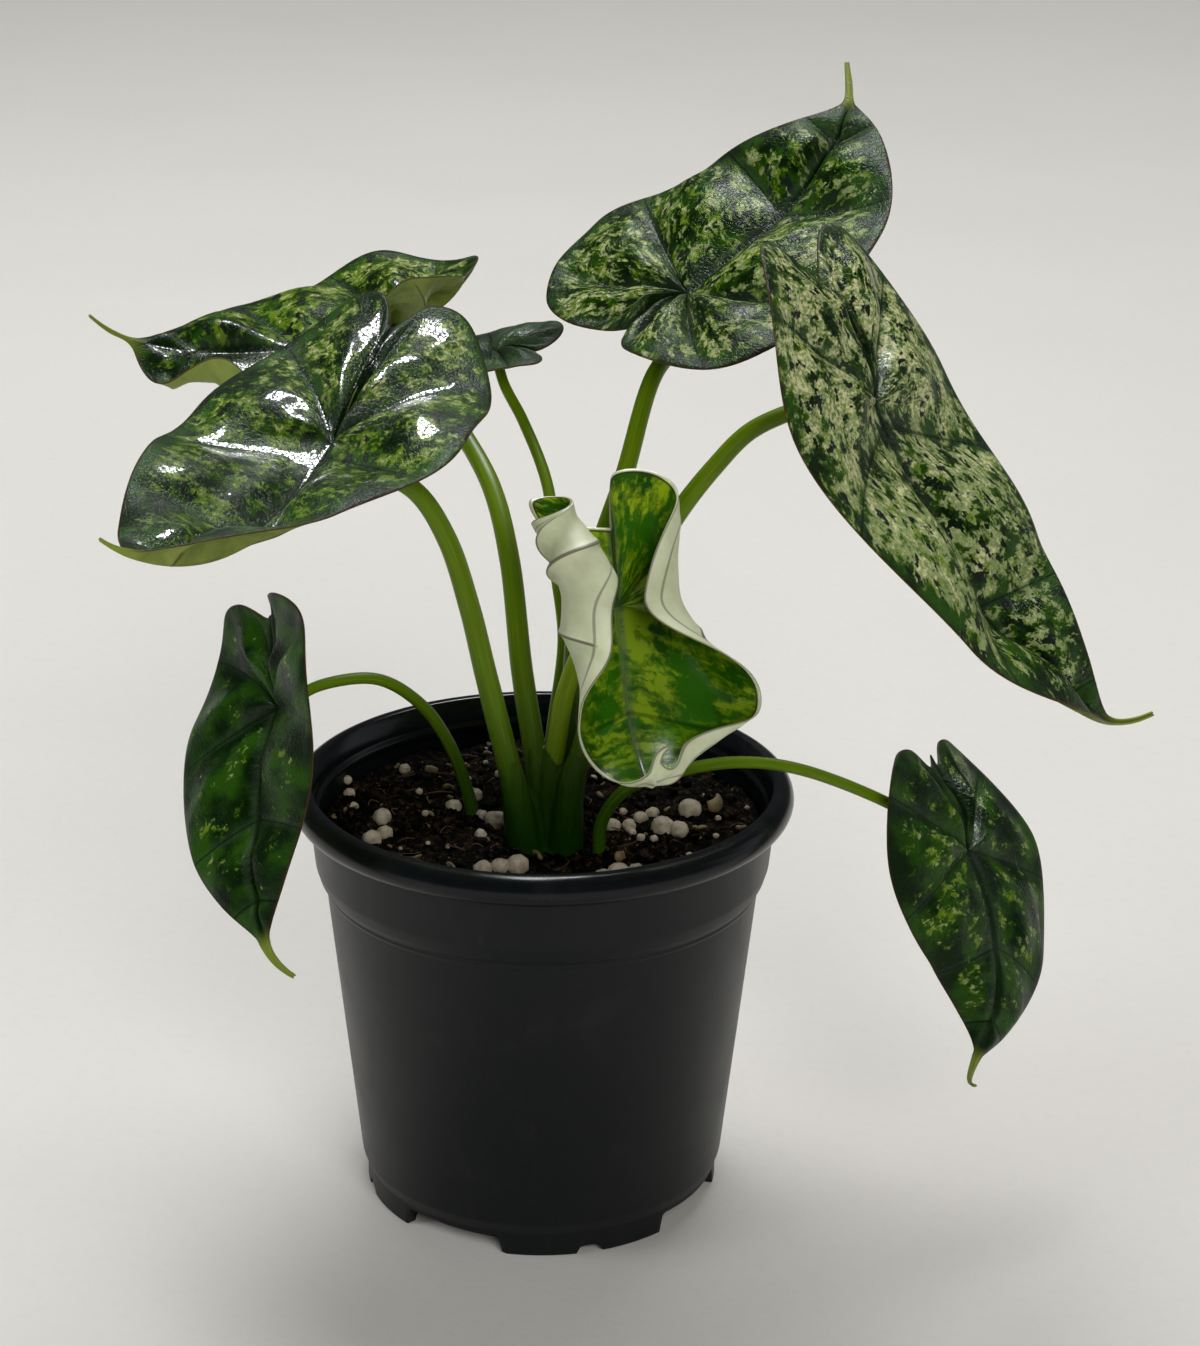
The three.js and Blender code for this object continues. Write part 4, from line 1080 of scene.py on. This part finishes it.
def stem_material(colours, name, base, top):
    """Smooth green stalk with fine lengthwise streaks, darker at its foot in painted shade and lighter
    higher up in painted light.
    """
    graph = Graph(name)
    up, grain = graph.measure("up"), graph.places("grain")
    streaks = graph.noise(grain, 1.0, 3, 0.6)
    fine = graph.patches(grain, (4, 4, 2), 2)
    # Painted light and shade: from the shaded foot colour to the lit colour higher up
    shade_to_light = graph.ease(up, 0, 60)
    green = graph.mix(shade_to_light, base, top)
    streaked = graph.mix(graph.ease(streaks, 0.35, 0.7) * 0.25, green, colours.leaf_dark)
    return graph.surface(
        Base_Color=graph.mix(graph.ease(fine, 0.55, 0.75) * 0.25, streaked, colours.tip_green),
        Roughness=0.36 + streaks * 0.12,
        Specular_IOR_Level=0.2,
        Normal=graph.bump(streaks * 0.6 + fine * 0.4, 0.00012, 0.6),
        Subsurface_Weight=0.12,
        Subsurface_Radius=(0.5, 1.0, 0.2),
        Subsurface_Scale=0.001,
    )


def crown_material(colours):
    """The fleshy sheaths with lengthwise streaks, lighter upwards as painted light and darkening towards
    the mix in painted shade.
    """
    graph = Graph("crown")
    place = graph.position()
    streaks = graph.patches(place, (900, 900, 90), 3, 0.6)
    height = graph.node("ShaderNodeSeparateXYZ", {}, (place,), "Z")
    up = (height - SOIL_TOP * MM) / MM
    # Painted light and shade: lighter up the sheaths, darker down at the mix
    green = graph.mix(graph.ease(up, 6, 60), colours.crown_green, colours.stem_green)
    dim = graph.mix(graph.ease(up, -2, 26), colours.crown_foot_shade, green)
    return graph.surface(
        Base_Color=graph.mix(graph.ease(streaks, 0.4, 0.7) * 0.4, dim, colours.leaf_dark),
        Roughness=0.4 + streaks * 0.15,
        Specular_IOR_Level=0.25,
        Normal=graph.bump(streaks, 0.0002, 0.6),
        Subsurface_Weight=0.08,
        Subsurface_Radius=(0.5, 1.0, 0.2),
        Subsurface_Scale=0.001,
    )


def mix_material(colours):
    """Damp, nearly black potting mix with brown crumbs, and painted shade in the hollows between them."""
    graph = Graph("soil")
    place = graph.position()
    crumbs = graph.noise(place, 420, 4, 0.65)
    bits = graph.cells(place, 900)
    # Painted shade over the mix's own dark colour: near black in the hollows of the crumb relief
    brown = graph.mix(graph.ease(crumbs, 0.35, 0.75), colours.mix_hollow_shade, colours.mix_brown)
    bark = graph.mix(graph.ease(bits, 0.0, 0.5) * 0.5, colours.mix_bark, brown)
    specks = graph.ease(graph.noise(place, 1100, 3, 0.6), 0.62, 0.68) * graph.ease(crumbs, 0.4, 0.6)
    mixed = graph.mix(graph.ease(crumbs, 0.5, 0.62), brown, bark)
    return graph.surface(
        Base_Color=graph.mix(specks * 0.7, mixed, colours.bark_tan),
        Roughness=0.95 - graph.ease(crumbs, 0.6, 0.8) * 0.35,
        Specular_IOR_Level=0.05,
        Normal=graph.bump(crumbs * 0.6 + bits * 0.4, 0.0008, 0.9),
    )


def speckled_material(name, colours, main, other, scale, roughness, depth):
    """A rough crumb or chip of one colour with patches of another."""
    graph = Graph(name)
    place = graph.position()
    patches = graph.noise(place, scale, 3, 0.6)
    pits = graph.noise(place, scale * 4, 3, 0.6)
    base = graph.mix(graph.ease(patches, 0.45, 0.7) * 0.6, main, other)
    return graph.surface(
        Base_Color=graph.mix((1 - graph.ease(pits, 0.3, 0.5)) * 0.35, base, colours.mix_brown),
        Roughness=roughness + pits * 0.1,
        Normal=graph.bump(pits, depth, 0.8),
    )


def pot_material(colours):
    """Satin black moulded plastic, smoother on the lip, with a trace of dust."""
    graph = Graph("pot")
    place = graph.position()
    height = graph.node("ShaderNodeSeparateXYZ", {}, (place,), "Z")
    lip = graph.ease(height, 0.0985, 0.1)
    dust = graph.noise(place, 60, 4, 0.65)
    scuffs = graph.patches(place, (300, 300, 40), 3, 0.6)
    grain = graph.noise(place, 2600, 2)
    worn = graph.ease(dust, 0.5, 0.8) * 0.05 + graph.ease(scuffs, 0.62, 0.8) * 0.04
    return graph.surface(
        Base_Color=graph.mix(worn, colours.pot_black, colours.dust_grey),
        Roughness=0.39 - lip * 0.17 + graph.ease(dust, 0.4, 0.7) * 0.06,
        Normal=graph.bump(grain * (1 - lip * 0.7), 0.00005, 0.6),
        Specular_IOR_Level=0.25,
    )


def floor_material(colours):
    """Matt pale studio board with the faintest mottling."""
    graph = Graph("floor")
    place = graph.position()
    cloud = graph.noise(place, 4, 4, 0.6)
    fine = graph.noise(place, 260, 3, 0.6)
    shade = graph.ease(cloud, 0.35, 0.7) * 0.05 + graph.ease(fine, 0.45, 0.75) * 0.05
    return graph.surface(
        Base_Color=graph.mix(shade, colours.floor_pale, colours.floor_mottle),
        Roughness=0.9,
        Normal=graph.bump(fine, 0.0004, 0.3),
    )


# Operators
def notch_lift(angle_deg):
    """How high the foot ring is cut away at an angle."""
    lift = np.zeros_like(angle_deg)
    for middle, width, height in (NARROW_NOTCH, WIDE_NOTCH):
        for group in range(NOTCH_GROUPS):
            off = np.abs((angle_deg - middle - group * 360 / NOTCH_GROUPS + 180) % 360 - 180)
            lift = np.maximum(lift, height * (1 - smoothstep(off, width / 2 - 1.4, width / 2 + 0.4)))
    return lift


class ALOCASIA_OT_pot(bpy.types.Operator):
    """Moulds the pot: rolled lip, ledge, collar, seam, tapered body, notched foot and drain holes"""

    bl_idname = "alocasia.pot"
    bl_label = "Pot"

    def execute(self, context):
        colours = context.scene.alocasia_colours
        lip_centre = (RIM_RADIUS - RIM_ROLL, POT_HEIGHT - RIM_ROLL)
        outside = [
            (FOOT_RADIUS - FOOT_THICK, 0), (FOOT_RADIUS, 0), (FOOT_RADIUS, FOOT_HEIGHT),
            (BODY_FOOT_RADIUS, BODY_FOOT),
            *((BODY_TOP_RADIUS + out, BODY_TOP + up) for out, up in SEAM_STEPS),
            (COLLAR_FOOT_RADIUS - 0.9, BODY_TOP + 2), (COLLAR_FOOT_RADIUS, COLLAR_FOOT),
            (COLLAR_TOP_RADIUS, COLLAR_TOP),
        ]
        inside = [
            (LEDGE_RADIUS + LEDGE_THICK, COLLAR_TOP + 2 * LEDGE_THICK),
            (LEDGE_RADIUS, COLLAR_TOP + LEDGE_THICK), (LEDGE_RADIUS, COLLAR_TOP),
            (COLLAR_TOP_RADIUS - WALL, COLLAR_TOP - LEDGE_THICK),
            (COLLAR_FOOT_RADIUS - WALL, COLLAR_FOOT), (BODY_TOP_RADIUS - WALL, BODY_TOP),
            (BODY_FOOT_RADIUS - WALL, BODY_FOOT), (BODY_FOOT_RADIUS - 2 * WALL, FLOOR_TOP),
        ]
        lip = arc(lip_centre, RIM_ROLL, *LIP_ARC, 20)
        rounded = eased_corners([*outside, lip[0]], 0.5)[:-1] + lip
        rounded += eased_corners([lip[-1], *inside], 0.35)[1:]
        profile = [(0, FLOOR_BOTTOM), (FOOT_RADIUS - FOOT_THICK, FLOOR_BOTTOM), *rounded, (0, FLOOR_TOP)]
        points, faces = turned(profile, POT_SIDES)
        radius = np.hypot(points[:, 0], points[:, 1])
        angle = np.degrees(np.arctan2(points[:, 1], points[:, 0]))
        foot = (points[:, 2] < FLOOR_BOTTOM - 0.01) & (radius > FOOT_RADIUS - FOOT_THICK - 0.01)
        points[:, 2] = np.where(foot, np.maximum(points[:, 2], notch_lift(angle)), points[:, 2])
        points, faces, _ = merged(points, faces, {})
        pot = new_piece("pot_moulded", points, faces, pot_material(colours), "pot", ["pot"])
        drill = []
        for group in range(NOTCH_GROUPS):
            turn = math.radians(WIDE_NOTCH[0] + group * 360 / NOTCH_GROUPS)
            at = DRAIN_HOLES_AT * np.array([math.cos(turn), math.sin(turn)])
            shaft = np.array([[*at, FLOOR_BOTTOM - 2], [*at, FLOOR_TOP + 2]])
            drill.append(tube(shaft, np.full(2, DRAIN_HOLE_RADIUS), 48))
        holes = bpy.data.meshes.new("drain_holes")
        drill_points, drill_faces = joined(drill)
        holes.from_pydata(to_frame(drill_points).tolist(), [], drill_faces)
        cutter = bpy.data.objects.new("drain_holes", holes)
        bpy.context.scene.collection.objects.link(cutter)
        cut = pot.modifiers.new("drain_holes", "BOOLEAN")
        cut.operation, cut.solver, cut.object = "DIFFERENCE", "EXACT", cutter
        apply_modifiers(pot)
        bpy.data.objects.remove(cutter)
        return {"FINISHED"}


class ALOCASIA_OT_soil(bpy.types.Operator):
    """Fills the pot with crumbly potting mix"""

    bl_idname = "alocasia.soil"
    bl_label = "Potting mix"

    def execute(self, context):
        sizes = context.scene.alocasia_sizes
        colours = context.scene.alocasia_colours
        inset = WALL + GAP
        top_radius = COLLAR_FOOT_RADIUS - inset
        profile = [
            (0, FLOOR_TOP + GAP), (BODY_FOOT_RADIUS - WALL - inset, FLOOR_TOP + GAP),
            (BODY_FOOT_RADIUS - inset, BODY_FOOT + GAP), (BODY_TOP_RADIUS - inset, BODY_TOP + GAP),
            (top_radius, COLLAR_FOOT + GAP),
        ]
        rings = 84
        profile += [(top_radius * (1 - i / rings), SOIL_TOP) for i in range(rings + 1)]
        points, faces = turned(profile, 420)
        grain = sizes.grain / MM
        for point in points:
            if point[2] > SOIL_TOP - 0.01:
                x, y = point[:2]
                point[2] = soil_height(x, y) + grain * crumb(x, y)
        points, faces, _ = merged(points, faces, {})
        new_piece("potting_mix", points, faces, mix_material(colours), "soil", ["soil"])
        return {"FINISHED"}


def on_soil(x, y, lift):
    return (x, y, soil_height(x, y) + lift)


def free_places(chance, count, keep_from_crown):
    """Seeded places on the mix, clear of the crown."""
    places = []
    while len(places) < count:
        reach, turn = LITTER_REACH * math.sqrt(chance.random()), chance.uniform(0, 2 * math.pi)
        x, y = reach * math.cos(turn), reach * math.sin(turn)
        if math.hypot(x - CROWN_AT[0], y - CROWN_AT[1]) > keep_from_crown:
            places.append((x, y))
    return places


class ALOCASIA_OT_litter(bpy.types.Operator):
    """Strews perlite, bark, crumbs and fibres over the mix"""

    bl_idname = "alocasia.litter"
    bl_label = "Perlite, bark and fibres"

    def execute(self, context):
        colours = context.scene.alocasia_colours
        chance = random.Random(5)
        fine, middle, coarse = unit_ball(4), unit_ball(3), unit_ball(2)
        beads = [
            lump(fine, on_soil(x, y, 0.45 * r), r, seed, 0.9, 0.13)
            for seed, (x, y, r) in enumerate(PERLITE, start=1)
        ]
        for seed, (x, y) in enumerate(free_places(chance, *SMALL_BEADS), start=40):
            r = chance.uniform(0.4, 1.2)
            beads.append(lump(middle, on_soil(x, y, 0.5 * r + 0.2), r, seed))
        perlite = speckled_material(
            "perlite", colours, colours.perlite_white, colours.perlite_stain, 420, 0.75, 0.00012,
        )
        new_piece("perlite_beads", *joined(beads), perlite, "soil")

        flakes = [bark_flake(on_soil(x, y, 0.35 * r), 1.5 * r, chance) for x, y, r in BARK]
        for x, y in free_places(chance, *SMALL_CHIPS):
            flakes.append(bark_flake(on_soil(x, y, 0.5), chance.uniform(0.9, 2.0), chance))
        bark = speckled_material(
            "bark", colours, colours.bark_tan, colours.bark_brown, 380, 0.7, 0.0002,
        )
        new_piece("bark_chips", *joined(flakes), bark, "soil")

        crumbs = []
        for seed, (x, y) in enumerate(free_places(chance, *CRUMBS), start=90):
            r = chance.uniform(0.5, 1.5)
            crumbs.append(lump(coarse, on_soil(x, y, 0.3 * r), r, seed, 0.8, 0.5))
        new_piece("mix_crumbs", *joined(crumbs), mix_material(colours), "soil")

        threads = [
            fibre(on_soil(x, y, 0.9), chance.uniform(2, 8), chance)
            for x, y in free_places(chance, *FIBRES)
        ]
        coir = speckled_material(
            "coir", colours, colours.coir_brown, colours.coir_dark, 300, 0.8, 0.0001,
        )
        new_piece("coir_fibres", *joined(threads), coir, "soil")
        return {"FINISHED"}


class ALOCASIA_OT_crown(bpy.types.Operator):
    """Grows the crown, with the sheathing base of each stem"""

    bl_idname = "alocasia.crown"
    bl_label = "Crown"

    def execute(self, context):
        colours = context.scene.alocasia_colours
        profile = [
            (0, CROWN_FOOT), (CROWN_RADIUS / 2, CROWN_FOOT), (CROWN_RADIUS, CROWN_SHOULDER),
            (CROWN_RADIUS, SOIL_TOP - 6), (0.8 * CROWN_RADIUS, SOIL_TOP - 2), (0, CROWN_TOP),
        ]
        points, faces = turned(profile, 64)
        points[:, :2] += CROWN_AT
        points, faces, _ = merged(points, faces, {})
        parts = [(points, faces)]
        parts += [sheath(Leaf(name, values)) for name, values in LEAVES.items() if "root" not in values]
        crown = new_piece("crown_sheaths", *joined(parts), crown_material(colours), "crown", ["crown"])
        skin = crown.modifiers.new("skin", "REMESH")
        skin.mode, skin.voxel_size, skin.use_smooth_shade = "VOXEL", 0.45 * MM, True
        soften = crown.modifiers.new("soften", "SMOOTH")
        soften.factor, soften.iterations = 0.5, 5
        apply_modifiers(crown)
        return {"FINISHED"}


class ALOCASIA_OT_stems(bpy.types.Operator):
    """Draws the leaf stems from the crown or the mix to their blades"""

    bl_idname = "alocasia.stems"
    bl_label = "Stems"

    def execute(self, context):
        colours = context.scene.alocasia_colours
        # Each stalk's first colour is its painted shade at the foot, the second its painted light higher
        # up
        grown = stem_material(colours, "stem", colours.crown_green, colours.stem_green)
        fresh = stem_material(colours, "young_stem", colours.stem_green, colours.young_lime)
        for name, values in LEAVES.items():
            leaf = Leaf(name, values)
            line, share = spaced(stem_line(leaf), 1.2)
            thick, thin = leaf.stem_radius
            radii = thick + (thin - thick) * share
            radii = radii * (1 + 0.25 * smoothstep(share, 0.97, 1))
            points, faces = tube(line, radii, STEM_SIDES)
            run = np.concatenate([[0], np.cumsum(np.linalg.norm(np.diff(line, axis=0), axis=1))])
            up = run - ROOT_DEPTH if leaf.root else run + STEM_START - SOIL_TOP - STEM_HIDDEN
            up = np.concatenate([np.repeat(up, STEM_SIDES), up[:1], up[-1:]])
            turn = np.tile(np.arange(STEM_SIDES) * 2 * math.pi / STEM_SIDES, len(line))
            grain = np.stack([2.2 * np.cos(turn), 2.2 * np.sin(turn), 0.04 * up[: len(turn)]], -1)
            grain = np.concatenate([grain, grain[:1], grain[-1:]])
            new_piece(
                "stalk_" + name, points, faces, fresh if leaf.young else grown,
                "young_stem" if leaf.young else "stem", ["stem_" + name], {"up": up, "grain": grain},
            )
        return {"FINISHED"}


class ALOCASIA_OT_blades(bpy.types.Operator):
    """Grows the quilted blades"""

    bl_idname = "alocasia.blades"
    bl_label = "Blades"

    def execute(self, context):
        sizes = context.scene.alocasia_sizes
        colours = context.scene.alocasia_colours
        grown, fresh = blade_material(colours), young_material(colours)
        for name, values in LEAVES.items():
            leaf = Leaf(name, values)
            points, faces, measures = merged(*blade_mesh(leaf, sizes))
            new_piece(
                "leaf_" + name, leaf.posed(points), faces, fresh if leaf.young else grown,
                "young_blade" if leaf.young else "blade", ["blade_" + name], measures,
            )
        return {"FINISHED"}


class ALOCASIA_OT_stage(bpy.types.Operator):
    """Sets the pale floor, the soft lights and the camera"""

    bl_idname = "alocasia.stage"
    bl_label = "Studio"

    def execute(self, context):
        sizes = context.scene.alocasia_sizes
        colours = context.scene.alocasia_colours
        scene = bpy.context.scene
        scene.view_settings.view_transform = "Standard"
        half = sizes.floor_side / 2
        mesh = bpy.data.meshes.new("studio_floor")
        corners = [(-half, -half, 0), (half, -half, 0), (half, half, 0), (-half, half, 0)]
        mesh.from_pydata(corners, [], [(0, 1, 2, 3)])
        mesh.materials.append(floor_material(colours))
        floor = bpy.data.objects.new("studio_floor", mesh)
        scene.collection.objects.link(floor)

        world = bpy.data.worlds.new("daylight")
        scene.world = world
        world.use_nodes = True
        sky = world.node_tree.nodes["Background"]
        sky.inputs["Color"].default_value = SKY_COLOUR
        sky.inputs["Strength"].default_value = SKY_STRENGTH
        for name, (place, side, watts, tint) in LIGHTS.items():
            lamp = bpy.data.lights.new(name, "AREA")
            lamp.shape, lamp.size, lamp.energy, lamp.color = "SQUARE", side, watts, tint
            light = bpy.data.objects.new(name, lamp)
            light.location = Vector(place) + AXIS
            aim = AXIS + Vector((0, 0, LIGHT_AIM_HEIGHT)) - light.location
            light.rotation_euler = aim.to_track_quat("-Z", "Y").to_euler()
            light.visible_diffuse = name not in GLOSS_LIGHTS
            light.visible_glossy = name not in MATT_LIGHTS
            scene.collection.objects.link(light)

        yaw, pitch, roll = CAMERA_TURN
        level = math.cos(pitch)
        ahead = Vector((math.sin(yaw) * level, math.cos(yaw) * level, math.sin(pitch)))
        right = ahead.cross(Vector((0, 0, 1))).normalized()
        up = right.cross(ahead)
        across = right * math.cos(roll) + up * math.sin(roll)
        lens = bpy.data.cameras.new("camera")
        lens.sensor_width, lens.lens = CAMERA_SENSOR, CAMERA_LENS
        camera = bpy.data.objects.new("camera", lens)
        axes = Matrix((across, across.cross(ahead), -ahead)).transposed()
        camera.matrix_world = Matrix.Translation(Vector(CAMERA_PLACE) + AXIS) @ axes.to_4x4()
        scene.collection.objects.link(camera)
        scene.camera = camera
        return {"FINISHED"}


OPERATORS = (
    ALOCASIA_OT_stage, ALOCASIA_OT_pot, ALOCASIA_OT_soil, ALOCASIA_OT_litter, ALOCASIA_OT_crown,
    ALOCASIA_OT_stems, ALOCASIA_OT_blades,
)


class ALOCASIA_PT_panel(bpy.types.Panel):
    """Lists the sizes, the colours and the pieces"""

    bl_idname = "ALOCASIA_PT_panel"
    bl_label = "Potted alocasia"
    bl_space_type = "VIEW_3D"
    bl_region_type = "UI"
    bl_category = "Alocasia"

    def draw(self, context):
        for group in (context.scene.alocasia_sizes, context.scene.alocasia_colours):
            for key in group.__annotations__:
                self.layout.prop(group, key)
        for operator in OPERATORS:
            self.layout.operator(operator.bl_idname)


CLASSES = (AlocasiaSizes, AlocasiaColours, *OPERATORS, ALOCASIA_PT_panel)


def register():
    for cls in CLASSES:
        bpy.utils.register_class(cls)
    bpy.types.Scene.alocasia_sizes = bpy.props.PointerProperty(type=AlocasiaSizes)
    bpy.types.Scene.alocasia_colours = bpy.props.PointerProperty(type=AlocasiaColours)


def unregister():
    del bpy.types.Scene.alocasia_colours
    del bpy.types.Scene.alocasia_sizes
    for cls in reversed(CLASSES):
        bpy.utils.unregister_class(cls)


def main():
    register()
    bpy.ops.alocasia.stage()
    bpy.ops.alocasia.pot()
    bpy.ops.alocasia.soil()
    bpy.ops.alocasia.litter()
    bpy.ops.alocasia.crown()
    bpy.ops.alocasia.stems()
    bpy.ops.alocasia.blades()
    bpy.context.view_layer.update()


if __name__ == "__main__":
    main()
